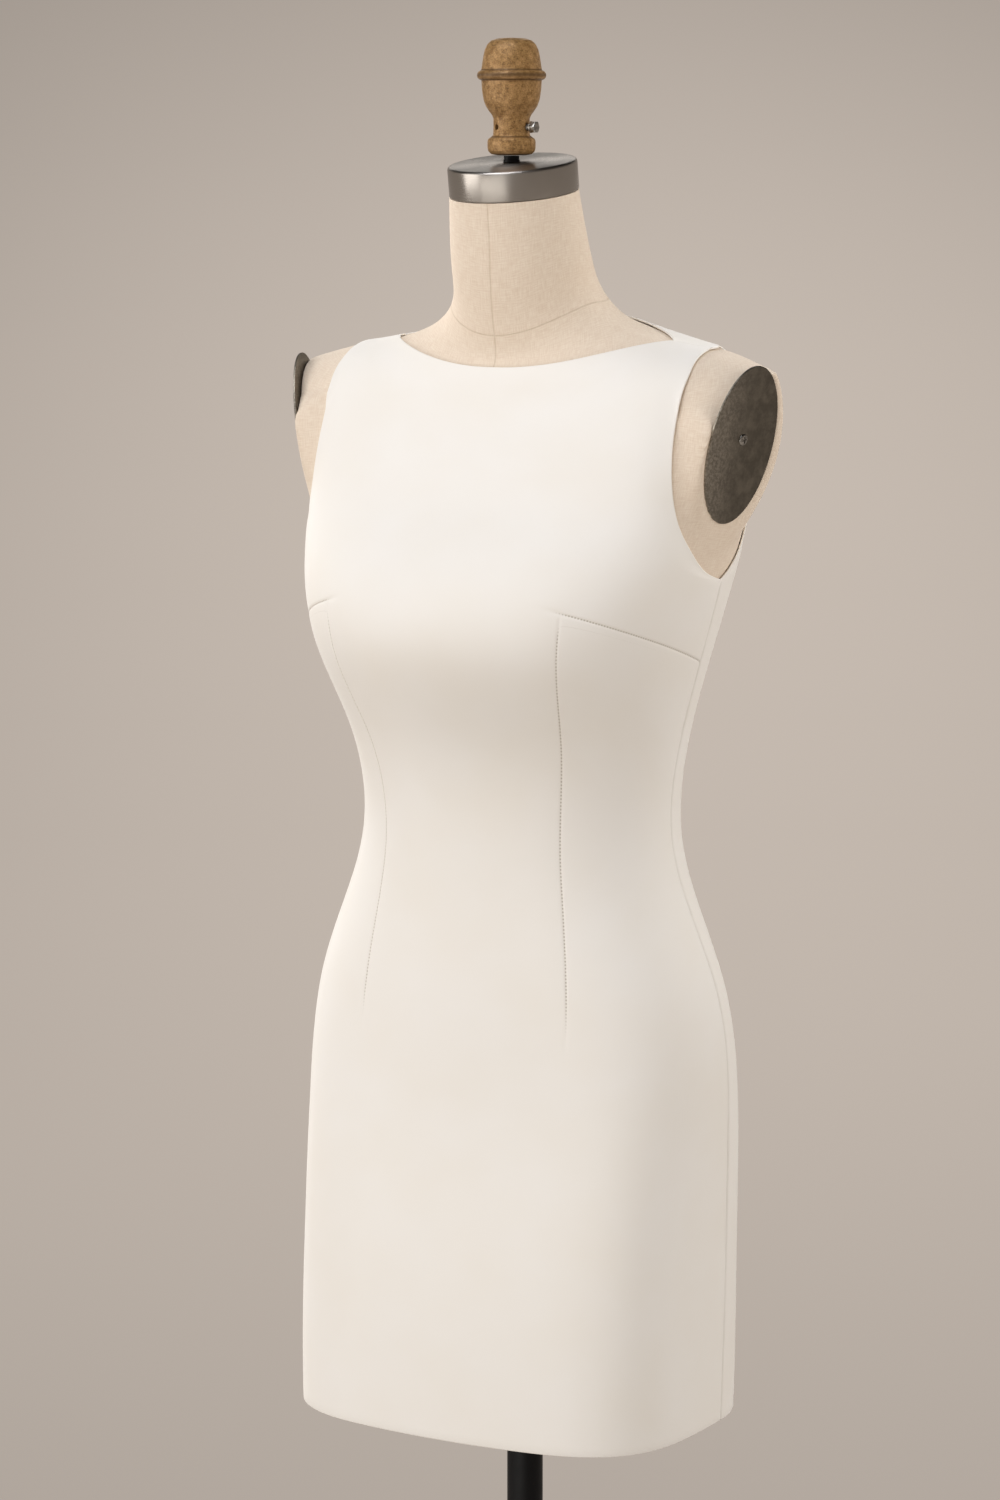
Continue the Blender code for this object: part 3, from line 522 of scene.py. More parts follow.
def mesh_piece(name: str, points: np.ndarray, faces: Sequence[Sequence[int]], uv: np.ndarray,
               marks: dict[str, np.ndarray], smooth_degrees: float = 40) -> bpy.types.Object:
    """Make cloth from points and faces, with its cut as a UV map.

    Args:
        name: piece name.
        points: XYZ rows.
        faces: corner numbers of each face.
        uv: place of each point on the flat cloth, in metres.
        marks: vector attributes of the points, by name.
        smooth_degrees: edges past this angle stay sharp.

    Returns:
        The new object.
    """
    mesh = bpy.data.meshes.new(name)
    mesh.from_pydata(points.tolist(), [], [list(face) for face in faces])
    corners = np.empty(len(mesh.loops), np.int32)
    mesh.loops.foreach_get("vertex_index", corners)
    layer = mesh.uv_layers.new(name="Cut")
    layer.data.foreach_set("uv", uv[corners].astype(np.float32).ravel())
    for mark, values in marks.items():
        added = mesh.attributes.new(mark, "FLOAT_VECTOR", "POINT")
        added.data.foreach_set("vector", values.astype(np.float32).ravel())
    mesh.shade_smooth()
    mesh.set_sharp_from_angle(angle=math.radians(smooth_degrees))
    mesh.update()
    piece = bpy.data.objects.new(name, mesh)
    bpy.context.scene.collection.objects.link(piece)
    return piece


def outer_area(piece: bpy.types.Object) -> float:
    """Half a thin closed shell's area, in square metres."""
    return sum(face.area for face in piece.data.polygons) / 2


def fit_out(piece: bpy.types.Object, finish: bpy.types.Material, body: Body, slot: Slot,
            *nodes: str) -> None:
    """Give a piece its finish and its place in the frame.

    Args:
        piece: finished mesh.
        finish: material.
        body: body that it rides on.
        slot: record's material slot; not used.
        *nodes: CAD nodes that it stands for.
    """
    piece.data.materials.clear()
    piece.data.materials.append(finish)
    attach(piece, body.value)
    if nodes:
        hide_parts(*nodes)
    LOG.info("%s: %d faces on %s", piece.name, len(piece.data.polygons), body.value)


# ---------------------------------------------------------------- finishes


def linear(colour: str) -> tuple[float, float, float, float]:
    """Linear colour of an sRGB hex value such as F3EFEB."""
    shares = [int(colour[i:i + 2], 16) / 255 for i in (0, 2, 4)]
    return (*(c / 12.92 if c <= 0.04045 else ((c + 0.055) / 1.055) ** 2.4 for c in shares), 1.0)


def add_node(tree: bpy.types.NodeTree, kind: str, inputs: dict | None = None,
             **settings: object) -> bpy.types.Node:
    """Add a node with its settings and links.

    Args:
        tree: node tree.
        kind: node type after ShaderNode.
        inputs: value or source socket of each input, by name or number.
        **settings: properties of the node.

    Returns:
        The node.
    """
    node = tree.nodes.new("ShaderNode" + kind)
    for name, value in settings.items():
        setattr(node, name, value)
    for key, value in (inputs or {}).items():
        if isinstance(value, bpy.types.NodeSocket):
            tree.links.new(value, node.inputs[key])
        else:
            node.inputs[key].default_value = value
    return node


@dataclass(frozen=True)
class Finish:
    """A surface finish and its plain values."""

    name: str
    colour: str
    roughness: float
    metallic: float = 0.0
    ior: float = 1.5

    def begin(self) -> tuple[bpy.types.Material, bpy.types.NodeTree, bpy.types.Node]:
        """Start the material.

        Returns:
            The material, its node tree and its Principled node.
        """
        made = bpy.data.materials.new(self.name)
        made.use_nodes = True
        tree = made.node_tree
        shader = tree.nodes["Principled BSDF"]
        shader.inputs["Base Color"].default_value = linear(self.colour)
        shader.inputs["Roughness"].default_value = self.roughness
        shader.inputs["Metallic"].default_value = self.metallic
        if not self.metallic:
            shader.inputs["IOR"].default_value = self.ior
        return made, tree, shader

    @staticmethod
    def _relief(tree: bpy.types.NodeTree, shader: bpy.types.Node, height: bpy.types.NodeSocket,
                strength: float, distance: float) -> None:
        """Give the surface relief.

        Args:
            tree: node tree.
            shader: Principled node.
            height: where the surface stands up.
            strength: share of the relief that shows.
            distance: its height in metres.
        """
        bump = add_node(tree, "Bump", {"Height": height, "Strength": strength, "Distance": distance})
        tree.links.new(bump.outputs[0], shader.inputs["Normal"])

    def _wear(self, tree: bpy.types.NodeTree, shader: bpy.types.Node, value: bpy.types.NodeSocket,
              span: tuple[float, float], change: tuple[float, float]) -> None:
        """Make the roughness uneven.

        Args:
            tree: node tree.
            shader: Principled node.
            value: what the roughness follows.
            span: the values between which it changes.
            change: what is added to the finish's roughness at each.
        """
        rough = add_node(tree, "MapRange", {"Value": value, "From Min": span[0], "From Max": span[1],
                                            "To Min": self.roughness + change[0],
                                            "To Max": self.roughness + change[1]})
        tree.links.new(rough.outputs[0], shader.inputs["Roughness"])


@dataclass(frozen=True)
class Crepe(Finish):
    """Polyester crepe, woven from twisted yarn: a dense matte cloth with a faint pebble."""

    cloud_colour: str = "F2EDE5"
    # painted shade of the stitch dimples along the darts
    stitch_shade_colour: str = "B9AEA2"
    pebble: float = 1.1       # mm; real crepe's is 0.4, drawn coarser so that it shows
    yarn: float = 0.9         # mm; drawn three times as coarse as the yarn
    stitch: float = 2.6       # mm from one stitch to the next

    def build(self) -> bpy.types.Material:
        """Make the material: pebble and yarn as relief, and painted shade of the pulled stitch dimples
        along each dart.
        """
        made, tree, shader = self.begin()
        shader.inputs["Specular IOR Level"].default_value = 0.35
        shader.inputs["Sheen Weight"].default_value = 0.18
        shader.inputs["Sheen Roughness"].default_value = 0.45
        shader.inputs["Sheen Tint"].default_value = linear("FFFDFA")
        cut = add_node(tree, "UVMap", uv_map="Cut")
        flat = add_node(tree, "Mapping", {"Vector": cut.outputs["UV"], "Scale": (1000, 1000, 1000)})
        pebble = add_node(tree, "TexNoise", {"Vector": flat.outputs[0], "Scale": 1 / self.pebble,
                                             "Detail": 2.0, "Roughness": 0.6})
        yarn = add_node(tree, "TexWave", {"Vector": flat.outputs[0], "Scale": 0.314 / self.yarn,
                                          "Distortion": 1.2, "Detail": 1.0}, bands_direction="Y")
        relief = add_node(tree, "Math", {0: yarn.outputs["Fac"], 1: 0.35, 2: pebble.outputs[0]},
                          operation="MULTIPLY_ADD")
        self._relief(tree, shader, relief.outputs[0], 0.30, 0.00008)
        cloud = add_node(tree, "TexNoise", {"Vector": flat.outputs[0], "Scale": 1 / 70, "Detail": 2.0})
        shade = add_node(tree, "MapRange", {"Value": cloud.outputs[0], "From Min": 0.3, "From Max": 0.7,
                                            "To Min": 0.0, "To Max": 1.0})
        tone = add_node(tree, "Mix", {0: shade.outputs[0], 6: linear(self.colour),
                                      7: linear(self.cloud_colour)}, data_type="RGBA")
        # Painted shade: a dotted darker line along each dart stands in for the shade in the dimples that
        # its stitches pull.
        mark = add_node(tree, "Attribute", attribute_name="stitch")
        parts = add_node(tree, "SeparateXYZ", {"Vector": mark.outputs["Vector"]})
        across = add_node(tree, "Math", {0: parts.outputs["X"]}, operation="ABSOLUTE")
        line = add_node(tree, "MapRange", {"Value": across.outputs[0], "From Min": 0.20, "From Max": 0.75,
                                           "To Min": 1.0, "To Max": 0.0})
        wave = add_node(tree, "Math", {0: parts.outputs["Y"], 1: 2 * math.pi / self.stitch},
                        operation="MULTIPLY")
        beat = add_node(tree, "Math", {0: wave.outputs[0]}, operation="SINE")
        dots = add_node(tree, "MapRange", {"Value": beat.outputs[0], "From Min": -0.2, "From Max": 0.7,
                                           "To Min": 0.25, "To Max": 1.0})
        shown = add_node(tree, "Math", {0: line.outputs[0], 1: dots.outputs[0]}, operation="MULTIPLY")
        worn = add_node(tree, "Math", {0: shown.outputs[0], 1: parts.outputs["Z"]}, operation="MULTIPLY")
        paint = add_node(tree, "Mix", {0: worn.outputs[0], 6: tone.outputs[2],
                                       7: linear(self.stitch_shade_colour)}, data_type="RGBA")
        tree.links.new(paint.outputs[2], shader.inputs["Base Color"])
        return made


@dataclass(frozen=True)
class Linen(Finish):
    """Natural linen in plain weave over padding: dry, with slubs and a fine grid of yarn."""

    slub_colour: str = "E2CFBA"
    seam_colour: str = "B39A7C"
    yarn: float = 0.9         # mm between yarns; a real cover's 0.6, drawn coarser so that it shows

    def build(self) -> bpy.types.Material:
        """Make the material: warp and weft as relief, slubs as tone, and its sewn seams."""
        made, tree, shader = self.begin()
        shader.inputs["Specular IOR Level"].default_value = 0.2
        shader.inputs["Sheen Weight"].default_value = 0.15
        cut = add_node(tree, "UVMap", uv_map="Cut")
        flat = add_node(tree, "Mapping", {"Vector": cut.outputs["UV"], "Scale": (1000, 1000, 1000)})
        yarns = [add_node(tree, "TexWave", {"Vector": flat.outputs[0], "Scale": 0.314 / self.yarn,
                                            "Distortion": 0.8, "Detail": 1.0}, bands_direction=way)
                 for way in ("X", "Y")]
        slubs = []
        for stretch in ((0.12, 1.5, 1), (1.5, 0.12, 1)):
            run = add_node(tree, "Mapping", {"Vector": flat.outputs[0], "Scale": stretch})
            slubs.append(add_node(tree, "TexNoise",
                                  {"Vector": run.outputs[0], "Scale": 1.0, "Detail": 2.0}))
        weave = add_node(tree, "Math", {0: yarns[0].outputs["Fac"], 1: yarns[1].outputs["Fac"]},
                         operation="ADD")
        slub = add_node(tree, "Math", {0: slubs[0].outputs[0], 1: slubs[1].outputs[0]}, operation="ADD")
        height = add_node(tree, "Math", {0: slub.outputs[0], 1: 1.5, 2: weave.outputs[0]},
                          operation="MULTIPLY_ADD")
        tone = add_node(tree, "MapRange", {"Value": slub.outputs[0], "From Min": 0.8, "From Max": 1.25})
        mark = add_node(tree, "Attribute", attribute_name="seam")
        parts = add_node(tree, "SeparateXYZ", {"Vector": mark.outputs["Vector"]})
        lines = []
        for axis in ("X", "Y"):
            away = add_node(tree, "Math", {0: parts.outputs[axis]}, operation="ABSOLUTE")
            lines.append(add_node(tree, "MapRange",
                                  {"Value": away.outputs[0], "From Min": 0.1, "From Max": 0.9,
                                   "To Min": 1.0, "To Max": 0.0}))
        seam = add_node(tree, "Math", {0: lines[0].outputs[0], 1: lines[1].outputs[0]}, operation="MAXIMUM")
        groove = add_node(tree, "Bump", {"Height": seam.outputs[0], "Strength": 0.6, "Distance": 0.0003},
                          invert=True)
        bump = add_node(tree, "Bump", {"Height": height.outputs[0], "Strength": 0.45, "Distance": 0.00010,
                                       "Normal": groove.outputs[0]})
        tree.links.new(bump.outputs[0], shader.inputs["Normal"])
        cloth = add_node(tree, "Mix", {0: tone.outputs[0], 6: linear(self.slub_colour),
                                       7: linear(self.colour)}, data_type="RGBA")
        faint = add_node(tree, "Math", {0: seam.outputs[0], 1: 0.32}, operation="MULTIPLY")
        paint = add_node(tree, "Mix", {0: faint.outputs[0], 6: cloth.outputs[2],
                                       7: linear(self.seam_colour)}, data_type="RGBA")
        tree.links.new(paint.outputs[2], shader.inputs["Base Color"])
        return made


@dataclass(frozen=True)
class SpunSteel(Finish):
    """Steel spun and brushed on a lathe: fine rings round the axis, and broad soft highlights."""

    centre: tuple[float, float, float] = (0.0, 0.0, 0.0)
    tilt: float = 0.0
    ring: float = 0.5         # mm between rings, drawn coarser than the brush's grit

    def build(self) -> bpy.types.Material:
        """Make the material: rings in roughness and relief."""
        made, tree, shader = self.begin()
        place = add_node(tree, "TexCoord")
        local = add_node(tree, "Mapping", {"Vector": place.outputs["Object"], "Location": self.centre,
                                           "Rotation": (self.tilt, 0, 0)}, vector_type="TEXTURE")
        parts = add_node(tree, "SeparateXYZ", {"Vector": local.outputs[0]})
        level = add_node(tree, "CombineXYZ", {"X": parts.outputs["X"], "Y": parts.outputs["Y"]})
        radius = add_node(tree, "VectorMath", {0: level.outputs[0]}, operation="LENGTH")
        lathe_place = add_node(tree, "CombineXYZ", {"X": radius.outputs["Value"], "Z": parts.outputs["Z"]})
        rings = add_node(tree, "TexNoise", {"Vector": lathe_place.outputs[0], "Scale": 1000 / self.ring,
                                            "Detail": 3.0, "Roughness": 0.7})
        smudge = add_node(tree, "TexNoise", {"Vector": local.outputs[0], "Scale": 45.0, "Detail": 2.0})
        axis = (0.0, -math.sin(self.tilt), math.cos(self.tilt))
        away = add_node(tree, "VectorMath", {0: place.outputs["Object"], 1: self.centre},
                        operation="SUBTRACT")
        brushed = add_node(tree, "VectorMath", {0: axis, 1: away.outputs[0]}, operation="CROSS_PRODUCT")
        along = add_node(tree, "VectorMath", {0: brushed.outputs[0]}, operation="NORMALIZE")
        tree.links.new(along.outputs[0], shader.inputs["Tangent"])
        shader.inputs["Anisotropic"].default_value = 0.75
        shader.inputs["Anisotropic Rotation"].default_value = 0.25
        both = add_node(tree, "Math", {0: rings.outputs[0], 1: smudge.outputs[0]}, operation="ADD")
        self._wear(tree, shader, both.outputs[0], (0.7, 1.3), (-0.06, 0.10))
        self._relief(tree, shader, rings.outputs[0], 0.25, 0.00003)
        return made


@dataclass(frozen=True)
class GiltBeech(Finish):
    """Turned beech under old gold lacquer: crackled, with painted shade in its grooves and on its ring."""

    low: str = "8A6234"
    high: str = "C69A66"
    # dark lines of the crackle, and the painted shade at the turns
    dark: str = "3A2512"
    foot: float = 0.0         # height of the piece's foot
    # Height above the foot and reach of each turn darkened with painted shade, in metres
    turns: tuple[tuple[float, float], ...] = ((0.0005, 0.0016), (0.0131, 0.0011), (0.0535, 0.0016),
                                              (0.0570, 0.0030), (0.0606, 0.0012))

    def build(self) -> bpy.types.Material:
        """Make the material: patches, crackle, painted shade at the turns and a worn lacquer."""
        made, tree, shader = self.begin()
        place = add_node(tree, "TexCoord")
        patch = add_node(tree, "TexNoise", {"Vector": place.outputs["Object"], "Scale": 260.0,
                                            "Detail": 5.0,
                                            "Roughness": 0.66})
        tone = add_node(tree, "ValToRGB", {"Fac": patch.outputs[0]})
        ramp = tone.color_ramp
        ramp.elements[0].position, ramp.elements[0].color = 0.30, linear(self.low)
        ramp.elements[1].position, ramp.elements[1].color = 0.74, linear(self.high)
        ramp.elements.new(0.50).color = linear(self.colour)
        bent = add_node(tree, "TexNoise", {"Vector": place.outputs["Object"], "Scale": 500.0,
                                           "Detail": 2.0})
        pushed = add_node(tree, "VectorMath", {0: bent.outputs["Color"], 1: (0.0016, 0.0016, 0.0016),
                                               2: place.outputs["Object"]}, operation="MULTIPLY_ADD")
        crackle = add_node(tree, "TexVoronoi", {"Vector": pushed.outputs[0], "Scale": 700.0},
                           feature="DISTANCE_TO_EDGE")
        crack = add_node(tree, "MapRange", {"Value": crackle.outputs["Distance"], "From Min": 0.02,
                                            "From Max": 0.10, "To Min": 0.65, "To Max": 0.0})
        where = add_node(tree, "MapRange", {"Value": patch.outputs[0], "From Min": 0.42, "From Max": 0.56,
                                            "To Min": 1.0, "To Max": 0.6})
        cracked = add_node(tree, "Math", {0: crack.outputs[0], 1: where.outputs[0]}, operation="MULTIPLY")
        parts = add_node(tree, "SeparateXYZ", {"Vector": place.outputs["Object"]})
        shade = cracked
        # Painted shade at the foot's lower edge, where the foot meets the waist, under and on the ring, and
        # in the groove above it
        for height, reach in self.turns:
            away = add_node(tree, "Math", {0: parts.outputs["Z"], 1: self.foot + height},
                            operation="SUBTRACT")
            far = add_node(tree, "Math", {0: away.outputs[0]}, operation="ABSOLUTE")
            turn = add_node(tree, "MapRange", {"Value": far.outputs[0], "From Min": 0.0, "From Max": reach,
                                               "To Min": 0.72, "To Max": 0.0},
                            interpolation_type="SMOOTHSTEP")
            shade = add_node(tree, "Math", {0: shade.outputs[0], 1: turn.outputs[0]}, operation="MAXIMUM")
        paint = add_node(tree, "Mix", {0: shade.outputs[0], 6: tone.outputs["Color"],
                                       7: linear(self.dark)}, data_type="RGBA")
        tree.links.new(paint.outputs[2], shader.inputs["Base Color"])
        self._wear(tree, shader, patch.outputs[0], (0.35, 0.65), (0.14, -0.08))
        self._relief(tree, shader, crackle.outputs["Distance"], 0.55, 0.00045)
        return made


@dataclass(frozen=True)
class WornMetal(Finish):
    """Plated or lacquered sheet and hardware: mottled tone, worn patches and fine scuffs, and where asked a
    brighter front edge that is rub marks and partly painted light.
    """

    worn: str = "8F887C"
    patch: float = 9.0        # mm across a patch
    scuff: tuple[float, float, float] = (60.0, 60.0, 900.0)
    # bright colour of the rub marks and of the painted light at the front edge
    rub_and_light_colour: str = "B9B0A2"
    lit_rub_from: float = 0.0     # metres along Y over which the brighter front edge fades, rub marks and partly painted light; 0 and 0 for none
    lit_rub_to: float = 0.0

    def build(self) -> bpy.types.Material:
        """Make the material: patches of tone, scuffs in roughness."""
        made, tree, shader = self.begin()
        place = add_node(tree, "TexCoord")
        patches = add_node(tree, "TexNoise", {"Vector": place.outputs["Object"], "Scale": 1000 / self.patch,
                                              "Detail": 5.0, "Roughness": 0.7})
        share = add_node(tree, "MapRange", {"Value": patches.outputs[0], "From Min": 0.42,
                                            "From Max": 0.66})
        tone = add_node(tree, "Mix", {0: share.outputs[0], 6: linear(self.colour),
                                      7: linear(self.worn)}, data_type="RGBA")
        last = tone
        if self.lit_rub_from != self.lit_rub_to:
            last = self._rub_and_light(tree, place, tone)
        tree.links.new(last.outputs[2], shader.inputs["Base Color"])
        run = add_node(tree, "Mapping", {"Vector": place.outputs["Object"], "Scale": self.scuff})
        scuffs = add_node(tree, "TexNoise", {"Vector": run.outputs[0], "Scale": 1.0, "Detail": 3.0})
        self._wear(tree, shader, scuffs.outputs[0], (0.3, 0.7), (-0.07, 0.10))
        self._relief(tree, shader, scuffs.outputs[0], 0.2, 0.00004)
        return made

    def _rub_and_light(self, tree: bpy.types.NodeTree, place: bpy.types.Node, tone: bpy.types.Node) -> bpy.types.Node:
        """Lay bright, crackled marks over the tone towards the front edge: rub marks, and partly painted
        light on that side.

        Args:
            tree: node tree.
            place: texture coordinate node.
            tone: colour node beneath.

        Returns:
            The new colour node.
        """
        parts = add_node(tree, "SeparateXYZ", {"Vector": place.outputs["Object"]})
        # Partly painted light: the front edge is made brighter for the rub marks and for the light that
        # falls on that side
        fade = add_node(tree, "MapRange", {"Value": parts.outputs["Y"], "From Min": self.lit_rub_from,
                                           "From Max": self.lit_rub_to, "To Min": 1.0, "To Max": 0.0},
                        interpolation_type="SMOOTHSTEP")
        crackle = add_node(tree, "TexNoise", {"Vector": place.outputs["Object"], "Scale": 420.0,
                                              "Detail": 5.0,
                                              "Roughness": 0.75})
        marks = add_node(tree, "MapRange", {"Value": crackle.outputs[0], "From Min": 0.44, "From Max": 0.60,
                                            "To Min": 0.25, "To Max": 1.0})
        share = add_node(tree, "Math", {0: fade.outputs[0], 1: marks.outputs[0]}, operation="MULTIPLY")
        rub_and_light_tone = add_node(tree, "Mix", {0: share.outputs[0], 6: tone.outputs[2],
                                        7: linear(self.rub_and_light_colour)}, data_type="RGBA")
        return rub_and_light_tone


@dataclass(frozen=True)
class Enamel(Finish):
    """Sprayed and baked enamel on steel: an even colour under a faint orange peel."""

    peel: float = 1.6         # mm across a dimple

    def build(self) -> bpy.types.Material:
        """Make the material: orange peel in relief, and a little dust in roughness."""
        made, tree, shader = self.begin()
        shader.inputs["Specular IOR Level"].default_value = 0.2
        shader.inputs["Coat Weight"].default_value = 0.05
        shader.inputs["Coat Roughness"].default_value = 0.15
        place = add_node(tree, "TexCoord")
        peel = add_node(tree, "TexNoise", {"Vector": place.outputs["Object"], "Scale": 1000 / self.peel,
                                           "Detail": 1.0})
        self._relief(tree, shader, peel.outputs[0], 0.12, 0.00006)
        dust = add_node(tree, "TexNoise", {"Vector": place.outputs["Object"], "Scale": 40.0, "Detail": 3.0})
        self._wear(tree, shader, dust.outputs[0], (0.3, 0.7), (-0.05, 0.08))
        return made


@dataclass(frozen=True)
class PaperSweep(Finish):
    """Seamless studio paper whose own glow stands in for lamp light: a painted pool of light, brightest
    behind the form and dimmer beyond it.
    """

    glow_colour: str = "BDB2A8"
    bright: float = 1.43
    dim: float = 0.64
    spot: tuple[float, float, float] = (-2.23, 4.77, 1.36)     # middle of the painted pool of light
    spot_turn: float = 28.7                                    # degrees
    spot_reach: tuple[float, float, float] = (4.2, 8.1, 2.8)   # across, into the set and up

    def build(self) -> bpy.types.Material:
        """Make the material: a dry colour, its own glow as painted light, and a painted contact shadow
        under the stand.
        """
        made, tree, shader = self.begin()
        shader.inputs["Specular IOR Level"].default_value = 0.1
        place = add_node(tree, "TexCoord")
        # Painted pool of light: the glow is strongest round the spot and fades away from it
        from_spot = add_node(tree, "Mapping", {"Vector": place.outputs["Object"], "Location": self.spot,
                                               "Rotation": (0, 0, math.radians(self.spot_turn)),
                                               "Scale": self.spot_reach}, vector_type="TEXTURE")
        away = add_node(tree, "VectorMath", {0: from_spot.outputs[0]}, operation="LENGTH")
        lit = add_node(tree, "MapRange", {"Value": away.outputs["Value"], "To Min": self.bright,
                                          "To Max": self.dim}, interpolation_type="SMOOTHSTEP")
        # Painted shadow: the glow is dimmed where the stand and the paper are close
        painted_contact_shadow = add_node(tree, "AmbientOcclusion", {"Distance": 0.25}, samples=6)
        shade = add_node(tree, "MapRange", {"Value": painted_contact_shadow.outputs["AO"], "To Min": 0.45, "To Max": 1.0})
        strength = add_node(tree, "Math", {0: lit.outputs[0], 1: shade.outputs[0]}, operation="MULTIPLY")
        shader.inputs["Emission Color"].default_value = linear(self.glow_colour)
        tree.links.new(strength.outputs[0], shader.inputs["Emission Strength"])
        tooth = add_node(tree, "TexNoise", {"Vector": place.outputs["Object"], "Scale": 220.0,
                                            "Detail": 2.0})
        self._relief(tree, shader, tooth.outputs[0], 0.05, 0.0002)
        return made


# ---------------------------------------------------------------- the dress

# Distances from a dart or a seam at which the cloth gets a row or a column of its own
FINE = (0.0004, 0.0009, 0.0016, 0.0026, 0.0040, 0.0065, 0.0100, 0.0160)


def spaced(length: float, count: int, fine_start: bool, fine_end: bool) -> np.ndarray:
    """Places along a length, close together at the ends that ask for it.

    Args:
        length: metres from the first place to the last.
        count: even steps between the fine places.
        fine_start: whether the start is fine.
        fine_end: whether the end is fine.

    Returns:
        Rising places from 0 to length.
    """
    lead = [0.0, *FINE] if fine_start else [0.0]
    tail = [*(length - place for place in reversed(FINE)), length] if fine_end else [length]
    middle = np.linspace(lead[-1], tail[0], count + 1)[1:-1]
    return np.array([*lead, *middle, *tail])


@dataclass(frozen=True)
class Line:
    """A line across half a panel, from its middle to its edge."""

    rows: int            # steps that lead up to it
    centre: float        # station at the panel's middle
    edge: float          # station at its edge
    angle: float         # angle of the edge from the middle
    fine: bool = False   # whether a dart lies on it


@dataclass(frozen=True)
class WaistDart:
    """A fisheye dart, as a share of the way from the panel's middle to its edge."""

    path: tuple[tuple[float, float], ...]
    low: float
    high: float


@dataclass
class PanelGrid:
    """A panel laid on the body: rows from the hem up, columns towards the wearer's left."""

    angle: np.ndarray
    station: np.ndarray
    out: np.ndarray           # outer surface above the body's, m
    lift: np.ndarray          # what the whole cloth stands off by, m
    cut: np.ndarray           # place on the flat cloth, m
    stitch: np.ndarray        # mm across and along the nearest dart, and how much of it shows
    armhole: tuple[int, int]  # first and last row of the armhole's edge

    def flipped(self) -> "PanelGrid":
        """The panel's mirror image, its columns still towards the wearer's left."""
        return PanelGrid(-self.angle[:, ::-1], self.station[:, ::-1], self.out[:, ::-1], self.lift[:, ::-1],
                         self.cut[:, ::-1] * (-1, 1), self.stitch[:, ::-1], self.armhole)

    def beside(self, other: "PanelGrid") -> "PanelGrid":
        """This panel joined to another whose first column is this one's last.

        Args:
            other: grid on the wearer's left of this one.

        Returns:
            One grid.
        """
        pairs = ((getattr(self, name), getattr(other, name))
                 for name in ("angle", "station", "out", "lift", "cut", "stitch"))
        return PanelGrid(*(np.concatenate([a, b[:, 1:]], axis=1) for a, b in pairs), self.armhole)


